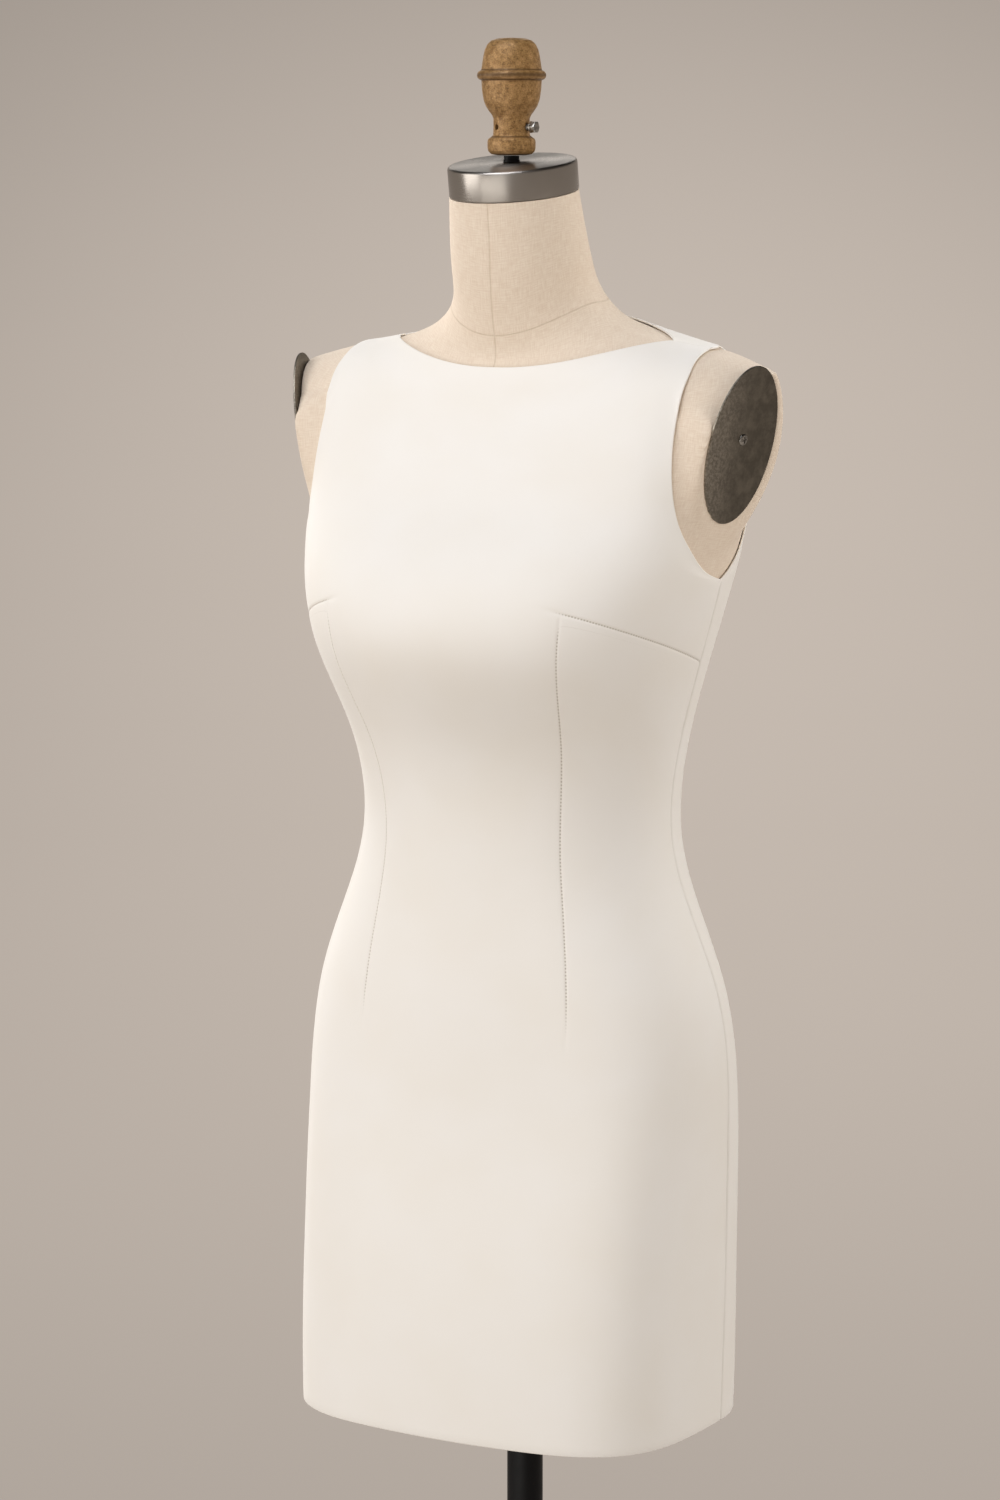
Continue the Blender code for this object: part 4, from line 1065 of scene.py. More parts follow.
@dataclass(frozen=True)
class PanelDraft:
    """Lines and darts that give half a panel."""

    lines: tuple[Line, ...]
    armhole: tuple[Line, ...]
    shoulder: tuple[Line, ...]
    waist_dart: WaistDart
    bust_line: int | None = None      # number of the line that the bust dart lies on
    bust_tip: float = 32.0            # angle where the bust dart ends
    middle: float = 0.0               # angle of the panel's middle
    bow: float = 1.4                  # a line leaves the middle level and falls with this power
    fold_depth: float = 0.00060       # the stitched fold lies this deep
    fold_half: float = 0.00085
    soft_depth: float = 0.00022       # and the cloth beside it dips this far
    soft_half: float = 0.0060
    run_out: float = 0.030
    seam_depth: float = 0.00075
    seam_half: float = 0.0022
    rests: float = 0.0007             # the shoulders and the armhole edges come this near the linen
    rests_from_edge: float = 0.032    # over this much cloth beside an armhole
    inner_columns: int = 9
    outer_columns: int = 15

    def rows(self) -> tuple[np.ndarray, tuple[int, int], int]:
        """Work out the rows.

        Returns:
            Rows of centre station, edge station and edge angle; the armhole's first and last row;
            and the bust dart's row, or -1.
        """
        rows: list[np.ndarray] = []
        marks = []
        bust = -1
        for table, bent in ((self.lines, False), (self.armhole, True), (self.shoulder, False)):
            values = np.array([(line.centre, line.edge, line.angle) for line in table])
            curve = Curve(range(len(table)), values)
            start = 0 if not rows else 1
            want = [0.0]
            for number, line in enumerate(table[1:], 1):
                length = float(np.abs(values[number, :2] - values[number - 1, :2]).max())
                steps = spaced(length, line.rows, table[number - 1].fine, line.fine)[1:] / length
                want += list(number - 1 + steps)
                if table is self.lines and number == self.bust_line:
                    bust = len(want) - 1
            if bent:
                part = curve.at(want)
            else:
                part = np.stack([np.interp(want, range(len(table)), column) for column in values.T], axis=1)
            rows += list(part[start:])
            marks.append(len(rows) - 1)
        return np.array(rows), (marks[0], marks[1]), bust

    def grid(self) -> PanelGrid:
        """Lay half a panel on the front of the body, on the wearer's left.

        Returns:
            The grid, from the panel's middle at angle 0 to its edge.
        """
        rows, armhole, bust = self.rows()
        share = Curve(*zip(*self.waist_dart.path)).at(rows[:, 0])
        reach = self._reach(rows)
        columns = np.array([self._columns(line * length, length) / length
                            for line, length in zip(share, reach)])
        angle = columns * rows[:, 2:3]
        station = rows[:, 0:1] + (rows[:, 1:2] - rows[:, 0:1]) * columns ** self.bow
        across = (columns - share[:, None]) * reach[:, None]
        to_edge = (1 - columns) * reach[:, None]
        shows = self._waist_run(rows[:, 0])[:, None]
        fold = self._fold(across) * shows
        stitch = np.stack([across / MM, station / MM, shows + 0 * across], axis=-1)
        fold += self._pucker(across, rows[:, 0:1] - self.waist_dart.low)
        fold += self._pucker(across, rows[:, 0:1] - self.waist_dart.high)
        if bust >= 0:
            centre, edge, _ = rows[bust]
            above = (station - (centre + (edge - centre) * columns ** self.bow)) * 0.93
            run = smooth_step(self.bust_tip - 1, self.bust_tip + 5, angle)
            fold = np.maximum(fold, self._fold(above) * run)
            tip = np.radians(angle - self.bust_tip) * 0.16
            fold += self._pucker(above, tip)
            near = (np.abs(above) < 0.006) & (run > 0)
            along = np.stack([above / MM, angle * 2.8, run], axis=-1)
            stitch = np.where(near[..., None], along, stitch)
        angle = self.middle + angle
        lift = self._lift(angle, station, to_edge, rows[:, 1:2])
        seam = self._seam_roll(to_edge, station)
        seam[armhole[0]:armhole[1] + 1] = 0
        out = lift - fold - seam + self._drape(columns * reach[:, None], station)
        cut = np.stack([columns * reach[:, None], station], axis=-1)
        return PanelGrid(angle, station, out, lift, cut, stitch, armhole)

    def _lift(self, angle: np.ndarray, station: np.ndarray, to_edge: np.ndarray,
              edge: np.ndarray) -> np.ndarray:
        """How far the cloth moves to rest on the linen at the shoulders and beside the armholes.

        Args:
            angle: angles of the grid.
            station: its stations.
            to_edge: metres to the panel's edge.
            edge: station of each row's edge.

        Returns:
            Metres outwards.
        """
        normal = BODY.normal(angle, station)
        linen = np.sum((LINEN.point(angle, station) - BODY.point(angle, station)) * normal, axis=-1)
        target = np.clip(linen + CLOTH + self.rests, -0.0030, 0.0012)
        beside = (1 - smooth_step(0, self.rests_from_edge, to_edge)) * smooth_step(0.690, 0.722, edge)
        return target * np.maximum(beside, smooth_step(0.820, 0.885, station))

    def _reach(self, rows: np.ndarray) -> np.ndarray:
        """Cloth from the panel's middle to its edge on each row, in metres."""
        way = np.linspace(0, 1, 40)[None, :]
        station = rows[:, 0:1] + (rows[:, 1:2] - rows[:, 0:1]) * way ** self.bow
        points = BODY.point(self.middle + way * rows[:, 2:3], station)
        return np.linalg.norm(np.diff(points, axis=1), axis=-1).sum(axis=1)

    def _columns(self, dart: float, length: float) -> np.ndarray:
        """Places of the columns, with fine ones at the dart and at the edge."""
        outer = dart + spaced(length - dart, self.outer_columns, True, True)[1:]
        return np.concatenate([spaced(dart, self.inner_columns, False, True), outer])

    def _fold(self, away: np.ndarray) -> np.ndarray:
        """Depth of a stitched fold and of the cloth that it pulls down beside it."""
        return (self.fold_depth * np.exp(-(away / self.fold_half) ** 2)
                + self.soft_depth * np.exp(-(away / self.soft_half) ** 2))

    def _waist_run(self, centre: np.ndarray) -> np.ndarray:
        """How much of the waist dart's fold there is at each row."""
        dart = self.waist_dart
        return (smooth_step(dart.low, dart.low + self.run_out, centre)
                * (1 - smooth_step(dart.high - self.run_out * 0.5, dart.high, centre)))

    @staticmethod
    def _pucker(across: np.ndarray, along: np.ndarray) -> np.ndarray:
        """The dimple at a dart's end, with a faint swell beyond it."""
        dimple = 0.00055 * np.exp(-(across / 0.0022) ** 2 - (along / 0.0070) ** 2)
        swell = 0.00016 * np.exp(-(across / 0.0090) ** 2 - (along / 0.0140) ** 2)
        return dimple - swell

    def _seam_roll(self, away: np.ndarray, station: np.ndarray) -> np.ndarray:
        """How the cloth rolls into a seam, and the ripple that its stitches draw beside it."""
        roll = self.seam_depth * (1 - smooth_step(0, self.seam_half, away))
        ripple = np.sin(station * 2 * math.pi / 0.017 + 2.1 * np.sin(station * 23))
        return roll + 0.00010 * ripple * np.exp(-away / 0.009) * smooth_step(0, 0.003, away)

    @staticmethod
    def _drape(across: np.ndarray, station: np.ndarray) -> np.ndarray:
        """Slow uneven swells of the cloth over the form."""
        return (0.00022 * np.sin(across * 38 + 1.3) * np.sin(station * 17 + 0.4)
                + 0.00014 * np.sin(across * 71 + station * 23)
                + 0.00016 * np.sin(across * 19 - station * 34 + 2.0))


FRONT_DRAFT = PanelDraft(
    lines=(
        Line(0, 0.0710, 0.0710, 90.0),              # hem
        Line(40, 0.3000, 0.3000, 90.0),             # hip
        Line(38, 0.5060, 0.5060, 90.0),             # waist
        Line(30, 0.7080, 0.6470, 90.0, fine=True),  # bust dart
        Line(8, 0.7350, 0.7080, 90.0),              # underarm
    ),
    armhole=(
        Line(0, 0.7350, 0.7080, 90.0), Line(5, 0.7480, 0.7165, 80.0), Line(5, 0.7620, 0.7334, 70.4),
        Line(6, 0.7800, 0.7565, 60.5), Line(6, 0.8030, 0.7884, 52.6), Line(5, 0.8290, 0.8199, 49.1),
        Line(4, 0.8480, 0.8420, 49.7), Line(4, 0.8625, 0.8570, 52.6), Line(4, 0.8740, 0.8690, 57.6),
        Line(4, 0.8850, 0.8800, 64.5), Line(4, 0.8960, 0.8895, 76.0), Line(5, 0.9060, 0.8955, 92.0),
    ),
    shoulder=(Line(0, 0.9060, 0.8955, 92.0), Line(8, 0.9210, 0.9140, 92.0)),
    waist_dart=WaistDart(((0.071, 0.330), (0.372, 0.304), (0.442, 0.349), (0.475, 0.372), (0.583, 0.394),
                          (0.640, 0.390), (0.701, 0.380), (0.735, 0.372), (0.930, 0.360)), 0.372, 0.701),
    bust_line=3,
)
BACK_DRAFT = PanelDraft(
    lines=(
        Line(0, 0.0710, 0.0710, 90.0), Line(40, 0.3000, 0.3000, 90.0), Line(38, 0.5060, 0.5060, 90.0),
        Line(40, 0.7300, 0.7080, 90.0),
    ),
    armhole=(
        Line(0, 0.7300, 0.7080, 90.0), Line(5, 0.7420, 0.7190, 80.0), Line(5, 0.7600, 0.7365, 70.0),
        Line(7, 0.7850, 0.7640, 61.0), Line(6, 0.8110, 0.7980, 54.5), Line(5, 0.8380, 0.8300, 51.0),
        Line(5, 0.8600, 0.8545, 50.2), Line(4, 0.8800, 0.8750, 52.5), Line(5, 0.8950, 0.8890, 62.0),
        Line(6, 0.9040, 0.8955, 87.6),
    ),
    shoulder=(Line(0, 0.9040, 0.8955, 87.6), Line(8, 0.9300, 0.9140, 87.6)),
    waist_dart=WaistDart(((0.071, 0.420), (0.372, 0.430), (0.506, 0.445), (0.650, 0.440), (0.930, 0.420)),
                         0.385, 0.665),
    middle=-180.0,
)


class Border(Enum):
    """How a panel ends along a part of its outline."""

    TURNED = "turned"   # a rounded, faced edge
    SEAM = "seam"       # meets the next panel


@dataclass
class Dress:
    """The dress: a front on the fold, two backs and the zip between them."""

    crepe: bpy.types.Material
    rests_on: bpy.types.Object
    hair_gap: float = 0.00004    # half the gap that shows at a seam
    turn_points: int = 5

    def build(self) -> None:
        """Make the three panels."""
        left = FRONT_DRAFT.grid()
        self._trim(left, -1, -1)
        front = left.flipped().beside(left)
        self._panel("dress_front_crepe", front, (True, True), "dress_front")
        back = BACK_DRAFT.grid()
        back.out = back.out - back_seam_roll(back)
        self._trim(back, -1, -1)
        self._trim(back, 0, 1)
        self._panel("dress_back_right_crepe", back, (False, True), "dress_back_right")
        self._panel("dress_back_left_crepe", back.flipped(), (True, False),
                    "dress_back_left")

    def _trim(self, grid: PanelGrid, column: int, way: int) -> None:
        """Hold a seam column back by half the gap that shows.

        Args:
            grid: panel to trim.
            column: number of the column.
            way: 1 to move it to a greater angle, -1 to a smaller one.
        """
        here = BODY.point(grid.angle[:, column], grid.station[:, column])
        there = BODY.point(grid.angle[:, column] + 1, grid.station[:, column])
        grid.angle[:, column] += way * self.hair_gap / np.linalg.norm(there - here, axis=-1)

    def _panel(self, name: str, grid: PanelGrid, edges: tuple[bool, bool],
               node: str) -> None:
        """Make one panel as a closed thin shell and declare its cut.

        Args:
            name: piece name.
            grid: places of the panel.
            edges: whether the first and the last column are the side, armhole and shoulder edge.
            node: CAD node that it stands for.
        """
        base = BODY.point(grid.angle, grid.station)
        normal = BODY.normal(grid.angle, grid.station)
        outer = base + normal * grid.out[..., None]
        inner = base + normal * (grid.lift - CLOTH)[..., None]
        rows, columns = grid.angle.shape
        number = np.arange(rows * columns).reshape(rows, columns)
        points = [outer.reshape(-1, 3), inner.reshape(-1, 3)]
        uv = [grid.cut.reshape(-1, 2)] * 2
        stitch = [grid.stitch.reshape(-1, 3)] * 2
        low, high = number[:-1, :], number[1:, :]
        quads = np.stack([low[:, :-1], low[:, 1:], high[:, 1:], high[:, :-1]], axis=-1).reshape(-1, 4)
        faces = [tuple(q) for q in quads.tolist()]
        faces += [tuple(q[::-1]) for q in (quads + rows * columns).tolist()]
        outline, kinds = self._outline(rows, columns, grid.armhole, edges)
        wall: dict[tuple[int, int], list[int]] = {}
        total = 2 * rows * columns
        count = len(outline)
        for k, (r, c) in enumerate(outline):
            before, after = kinds[k - 1], kinds[k]
            ends = [int(number[r, c]), int(number[r, c]) + rows * columns]
            wall[(r, c)] = ends
            if Border.TURNED not in (before, after):
                continue
            ahead = outline[(k + 1) % count] if after is Border.TURNED else (r, c)
            behind = outline[k - 1] if before is Border.TURNED else (r, c)
            run = outer[ahead] - outer[behind]
            away = np.cross(run, normal[r, c])
            away /= np.linalg.norm(away)
            middle, arm = (outer[r, c] + inner[r, c]) / 2, (outer[r, c] - inner[r, c]) / 2
            turns = np.radians(np.linspace(0, 180, self.turn_points + 2)[1:-1])[:, None]
            points.append(middle + arm * np.cos(turns) + away * np.linalg.norm(arm) * np.sin(turns))
            uv.append(np.repeat(grid.cut[r, c][None], self.turn_points, axis=0))
            stitch.append(np.repeat([[99.0, 0.0, 0.0]], self.turn_points, axis=0))
            arc = list(range(total, total + self.turn_points))
            total += self.turn_points
            wall[(r, c)] = [ends[0], *arc, ends[1]]
            if before is not after:
                faces.append(tuple(wall[(r, c)] if before is Border.TURNED else wall[(r, c)][::-1]))
        for k, here in enumerate(outline):
            there = outline[(k + 1) % count]
            near, far = wall[here], wall[there]
            if kinds[k] is Border.SEAM:
                faces.append((far[0], near[0], near[-1], far[-1]))
                continue
            faces += [(far[i], near[i], near[i + 1], far[i + 1]) for i in range(len(near) - 1)]
        piece = mesh_piece(name, np.concatenate(points), faces, np.concatenate(uv),
                           {"stitch": np.concatenate(stitch)})
        fit_out(piece, self.crepe, Body.STAND, Slot.CREPE, node)
        LOG.info("%s: %.3f m2 of cloth", name, outer_area(piece))

    @staticmethod
    def _outline(rows: int, columns: int, armhole: tuple[int, int],
                 edges: tuple[bool, bool]) -> tuple[list[tuple[int, int]], list[Border]]:
        """Walk round a panel, against the clock as seen from outside.

        Args:
            rows: rows of the grid.
            columns: columns of the grid.
            armhole: first and last row of the armhole.
            edges: whether the first and the last column hold the armhole.

        Returns:
            The outline's grid places, and how the outline goes on from each.
        """
        def kind(row: int, has_armhole: bool) -> Border:
            """Border between a row and the next one up."""
            return Border.TURNED if has_armhole and armhole[0] <= row < armhole[1] else Border.SEAM

        outline = [(0, c) for c in range(columns - 1)]
        kinds = [Border.TURNED] * (columns - 1)
        outline += [(r, columns - 1) for r in range(rows - 1)]
        kinds += [kind(r, edges[1]) for r in range(rows - 1)]
        outline += [(rows - 1, c) for c in range(columns - 1, 0, -1)]
        kinds += [Border.TURNED] * (columns - 1)
        outline += [(r, 0) for r in range(rows - 1, 0, -1)]
        kinds += [kind(r - 1, edges[0]) for r in range(rows - 1, 0, -1)]
        return outline, kinds


def back_seam_roll(back: PanelGrid) -> np.ndarray:
    """How a back rolls in towards the zip: a slit with two soft lips.

    Args:
        back: half panel whose middle is the centre back seam.

    Returns:
        Depth at each place, in metres.
    """
    away = back.cut[..., 0]
    lips = 0.0006 * (1 - smooth_step(0, 0.0045, away)) - 0.00025 * np.exp(-((away - 0.0055) / 0.003) ** 2)
    return lips + 0.00008 * np.sin(back.station * 2 * math.pi / 0.021) * np.exp(-away / 0.012)


@dataclass(frozen=True)
class ZipPlace:
    """Where the slider sits on the centre back seam."""

    station: float = 0.913
    gap: float = 0.0003
    thick: float = 0.0018
    bar_height: float = 0.0013
    rest: float = math.radians(6)

    def slider(self) -> Matrix:
        """World matrix whose Z points out of the cloth and whose Y points up the seam."""
        here = Vector(BODY.point(np.array(180.0), np.array(self.station)))
        out = Vector(BODY.normal(np.array(180.0), np.array(self.station)))
        out.x = 0.0
        out.normalize()
        up = Vector((1, 0, 0)).cross(out)
        return frame_matrix(up.cross(out), up, out, here + out * self.gap)

    def pull(self) -> Matrix:
        """World matrix of the pull tab, its top bar at the origin."""
        return (self.slider() @ Matrix.Translation((0, 0, self.thick + self.bar_height))
                @ Matrix.Rotation(self.rest, 4, "X"))


@dataclass
class Zip:
    """Slider and pull tab of the concealed zip."""

    enamel: bpy.types.Material
    place: ZipPlace = ZipPlace()
    slider_size: tuple[float, float] = (0.0052, 0.0090)
    bail_radius: float = 0.0016
    bail_wire: float = 0.00040
    tab: tuple[float, float, float] = (0.0064, 0.0200, 0.0010)
    neck: float = 0.66           # the tab's width at its top, as a share
    bar: float = 0.00050
    eye: tuple[float, float] = (0.0024, 0.0042)
    eye_middle: float = -0.0026

    def build(self) -> None:
        """Make the slider and its pull."""
        self._slider()
        self._pull()

    def _slider(self) -> None:
        """A pressed body that narrows to its lower end, with the wire loop on it."""
        thick = self.place.thick
        body = add_box((*self.slider_size, thick), (0, 0, thick / 2))
        begin_edit()
        pick_faces(lambda face: face.normal.y < -0.9)
        bpy.ops.transform.resize(value=(0.72, 1, 1), center_override=(0, 0, thick / 2))
        pick_faces(lambda face: face.normal.z > 0.9)
        bpy.ops.mesh.inset(thickness=0.0006, depth=0)
        bpy.ops.transform.translate(value=(0, 0, -0.0002))
        rest_selection()
        apply_modifier(body, "BEVEL", width=0.00045, segments=3, limit_method="ANGLE",
                       angle_limit=math.radians(40))
        rest_selection()
        bpy.ops.mesh.primitive_torus_add(major_radius=self.bail_radius, minor_radius=self.bail_wire,
                                         major_segments=28, minor_segments=10,
                                         location=(0, 0, thick + self.place.bar_height - 0.0001),
                                         rotation=(0, math.pi / 2, 0))
        join(body, bpy.context.object)
        fit_out(settle(body, "zip_slider_enamel", self.place.slider()), self.enamel, Body.STAND, Slot.ZIP,
                "zip_slider")

    def _pull(self) -> None:
        """A stamped drop with a rounded end, a raised rim and an eye for the loop."""
        wide, long, thick = self.tab
        tab = add_box((wide, long, thick), (0, self.bar - long / 2, 0))
        begin_edit()
        pick_faces(lambda face: face.normal.y > 0.9)
        bpy.ops.transform.resize(value=(self.neck, 1, 1), center_override=(0, 0, 0))
        pick_edges(lambda edge: abs(edge.verts[0].co.y - edge.verts[1].co.y) < 1e-6
                   and abs(edge.verts[0].co.x - edge.verts[1].co.x) < 1e-6)
        bpy.ops.mesh.bevel(offset=wide * 0.40, offset_pct=0, segments=7, affect="EDGES", clamp_overlap=True)
        cut_with(tab, add_box((*self.eye, 10 * thick), (0, self.eye_middle, 0)))
        bpy.context.view_layer.objects.active = tab
        begin_edit()
        for way in (1, -1):
            pick_faces(lambda face, way=way: face.normal.z * way > 0.9)
            bpy.ops.mesh.inset(thickness=0.0006, depth=-0.00018)
        rest_selection()
        apply_modifier(tab, "BEVEL", width=0.00012, segments=2, limit_method="ANGLE",
                       angle_limit=math.radians(40))
        fit_out(settle(tab, "zip_pull_enamel", self.place.pull()), self.enamel, Body.PULL, Slot.ZIP,
                "zip_pull")


# ---------------------------------------------------------------- the form


@dataclass(frozen=True)
class CapPlace:
    """The neck cap: size and place, tipped forward."""

    radius: float = 0.047
    height: float = 0.0224
    tilt: float = math.radians(8.8)
    centre: tuple[float, float, float] = (0.0, -0.018, WAIST + 0.4710)

    def matrix(self) -> Matrix:
        """World matrix with the middle of the lower rim at the origin."""
        return Matrix.Translation(self.centre) @ Matrix.Rotation(self.tilt, 4, "X")

    def foot_height(self, y: np.ndarray | float) -> np.ndarray | float:
        """Height of the cap's lower face at a place before or behind the origin."""
        return self.centre[2] + (y - self.centre[1]) * math.tan(self.tilt)

    def top_height(self, y: float) -> float:
        """Height of the cap's top at a place before or behind the origin."""
        top = self.matrix() @ Vector((0, 0, self.height))
        return top.z + (y - top.y) * math.tan(self.tilt)


CAP = CapPlace()


@dataclass
class Torso:
    """The padded torso and neck in their linen cover."""

    linen: bpy.types.Material
    neck_seam: float = 0.9595
    piece: bpy.types.Object | None = None

    def build(self) -> None:
        """Lay the cover's grid on the form and close it at the foot and under the cap."""
        half = np.concatenate([np.arange(0, 42, 3.0), np.arange(42, 122, 1.0), np.arange(122, 180, 3.0)])
        angle = np.concatenate([half, [180.0], 360 - half[:0:-1]])
        station = np.concatenate([np.arange(LINEN.foot, 0.780, 0.006), np.arange(0.780, 0.900, 0.0025),
                                  np.arange(0.900, 0.990, 0.003)])
        grid_station = np.repeat(station[:, None], len(angle), axis=1)
        top = self._top_stations(angle)
        climb = np.linspace(0, 1, 16)[:, None]
        grid_station = np.concatenate([grid_station, 0.990 + (top[None, :] - 0.990) * climb])
        grid_angle = np.repeat(angle[None, :], len(grid_station), axis=0)
        rings = LINEN.point(grid_angle, grid_station)
        rows, columns = grid_angle.shape
        number = np.arange(rows * columns).reshape(rows, columns)
        following = np.roll(number, -1, axis=1)
        faces = np.stack([number[:-1], following[:-1], following[1:], number[1:]], axis=-1).reshape(-1, 4)
        faces = [tuple(face) for face in faces.tolist()]
        faces += [tuple(number[0, ::-1].tolist()), tuple(number[-1].tolist())]
        girth = np.linalg.norm(np.roll(rings, -1, axis=1) - rings, axis=-1)
        signed = np.where(angle > 180, angle - 360, angle)
        from_front = np.concatenate([np.zeros((rows, 1)), np.cumsum(girth, axis=1)[:, :-1]], axis=1)
        whole = girth.sum(axis=1, keepdims=True)
        from_front = np.where(signed < 0, from_front - whole, from_front)
        slant = np.radians(4.0) * 0.05 * smooth_step(0.965, 1.03, grid_station)
        to_front = from_front - slant
        to_back = np.where(from_front > 0, from_front - whole / 2, from_front + whole / 2)
        to_seam = np.where(np.abs(to_front) < np.abs(to_back), to_front, to_back)
        seam = np.stack([to_seam / MM, (grid_station - self.neck_seam) / MM, 0 * to_seam], axis=-1)
        cut = np.stack([from_front, grid_station], axis=-1)
        piece = mesh_piece("form_torso_linen", rings.reshape(-1, 3), faces, cut.reshape(-1, 2),
                           {"seam": seam.reshape(-1, 3)}, 50)
        fit_out(piece, self.linen, Body.STAND, Slot.LINEN, "form_torso")
        self.piece = piece

    @staticmethod
    def _top_stations(angle: np.ndarray) -> np.ndarray:
        """Station at which the neck meets the cap, for each angle."""
        tried = np.linspace(0.99, 1.05, 61)
        points = BODY.point(angle[None, :], tried[:, None])
        above = points[..., 2] - (CAP.foot_height(points[..., 1]) - 0.0003)
        return np.array([np.interp(0.0, above[:, i], tried) for i in range(len(angle))])


@dataclass
class Hardware:
    """What is on the form: cap, finial with its rod and bolt, and the arm plates with their screws."""

    steel: bpy.types.Material
    wood: bpy.types.Material
    zinc: bpy.types.Material
    plate: bpy.types.Material
    black: bpy.types.Material
    finial_y: float = -0.0222
    finial_foot: float = WAIST + 0.4975
    rod_radius: float = 0.006
    bolt_height: float = 0.0200
    waist_radius: float = 0.0130
    hole_angle: float = math.radians(-27)
    plate_top: float = 0.0005
    plate_foot: float = -0.0009
    screw_radius: float = 0.0042
    screw_height: float = 0.0016
    screw_up: float = 0.004
    screw_turn: float = math.radians(20)    # how far its cross is turned
    blind_hole: tuple[float, float] = (0.0021, 0.0060)   # radius and depth
    bolt_hole: tuple[float, float] = (0.0028, 0.0040)
    # Finial: radius and height of each ring, from the foot up
    finial_outline: tuple[tuple[float, float], ...] = (
        (0.0100, 0.0000), (0.0146, 0.0008), (0.0168, 0.0030), (0.0173, 0.0055), (0.0173, 0.0098),
        (0.0168, 0.0116), (0.0150, 0.0128), (0.0133, 0.0142), (0.0130, 0.0200), (0.0131, 0.0262),
        (0.0141, 0.0286), (0.0162, 0.0314), (0.0184, 0.0347), (0.0199, 0.0386), (0.0207, 0.0426),
        (0.0213, 0.0474), (0.0216, 0.0522), (0.0217, 0.0533), (0.0234, 0.0539), (0.0246, 0.0552),
        (0.0249, 0.0568),
        (0.0245, 0.0584), (0.0234, 0.0596), (0.0219, 0.0604), (0.0215, 0.0622), (0.0209, 0.0662),
        (0.0202, 0.0706), (0.0192, 0.0748), (0.0174, 0.0786), (0.0146, 0.0813), (0.0100, 0.0828),
        (0.0040, 0.0832))

    def build(self) -> None:
        """Make every piece."""
        self._cap()
        self._rod()
        self._finial()
        self._bolt()
        for side in Side:
            self._plate(side)
            self._screw(side)

    def _cap(self) -> None:
        """A spun cap: upright band, rounded rim and a low dome."""
        radius, height = CAP.radius, CAP.height
        outline = ((radius - 0.0012, 0.0), (radius - 0.0003, 0.0004), (radius, 0.0012),
                   (radius, height - 0.0030),
                   (radius - 0.0002, height - 0.0020), (radius - 0.0007, height - 0.0012),
                   (radius - 0.0016, height - 0.0007), (radius - 0.0030, height - 0.0005),
                   (radius * 0.75, height - 0.0003), (radius * 0.45, height - 0.0001), (0.004, height))
        cap = lathe(outline, 128)
        fit_out(settle(cap, "neck_cap_steel", CAP.matrix()), self.steel, Body.STAND, Slot.CAP,
                "form_neck_cap")

    def _rod(self) -> None:
        """The rod under the finial, with a collar nut at its foot."""
        y = self.finial_y
        foot = CAP.top_height(y) - 0.0002
        top = self.finial_foot - 0.0003
        radius = self.rod_radius
        outline = ((radius, foot), (radius, foot + 0.0012), (radius * 0.92, foot + 0.0016),
                   (radius * 0.92, top))
        rod = lathe(outline, 40)
        place = Matrix.Translation((0, y, 0))
        fit_out(settle(rod, "finial_rod_steel", place), self.black, Body.STAND, Slot.BLACK, "finial_rod")

    def _finial(self) -> None:
        """The turned finial, with its blind hole and the bolt's hole."""
        finial = lathe(self.finial_outline, 96, round_edges=0.0004)
        for turn, (radius, depth) in ((self.hole_angle, self.blind_hole), (math.pi / 2, self.bolt_hole)):
            outward = Vector((math.sin(turn), -math.cos(turn), 0))
            rest_selection()
            bpy.ops.mesh.primitive_cylinder_add(
                vertices=28, radius=radius, depth=2 * depth,
                location=outward * self.waist_radius + Vector((0, 0, self.bolt_height)),
                rotation=outward.to_track_quat("Z", "Y").to_euler())
            cut_with(finial, bpy.context.object)
        place = Matrix.Translation((0, self.finial_y, self.finial_foot))
        fit_out(settle(finial, "finial_gilt_beech", place, 28), self.wood, Body.STAND, Slot.WOOD,
                "form_finial")

    def _bolt(self) -> None:
        """The clamp bolt: a chamfered hexagon head with a washer face, on a threaded shank."""
        near = self.waist_radius + 0.0028
        rest_selection()
        bpy.ops.mesh.primitive_cylinder_add(vertices=6, radius=0.0044, depth=0.0042,
                                            location=(0, 0, near + 0.0025))
        head = bpy.context.object
        bpy.ops.object.transform_apply()
        begin_edit()
        pick_faces(lambda face: face.normal.z > 0.9)
        bpy.ops.mesh.inset(thickness=0.0005, depth=0)
        bpy.ops.transform.translate(value=(0, 0, 0.0004))
        rest_selection()
        apply_modifier(head, "BEVEL", width=0.00025, segments=2, limit_method="ANGLE",
                       angle_limit=math.radians(20))
        pitch, radius = 0.0008, 0.0025
        start = self.waist_radius - 0.0037
        rings = [(radius - 0.0003, start)]
        for turn in range(int((near + 0.0006 - start) / pitch)):
            foot = start + turn * pitch
            rings += [(radius, foot + pitch * 0.5), (radius - 0.0003, foot + pitch)]
        rings += [(0.0042, near), (0.0042, near + 0.0006)]
        join(head, lathe(rings, 24))
        place = (Matrix.Translation((0, self.finial_y, self.finial_foot + self.bolt_height))
                 @ Matrix.Rotation(math.pi / 2, 4, "Y"))
        fit_out(settle(head, "finial_bolt_zinc", place), self.zinc, Body.STAND, Slot.ZINC, "finial_bolt")

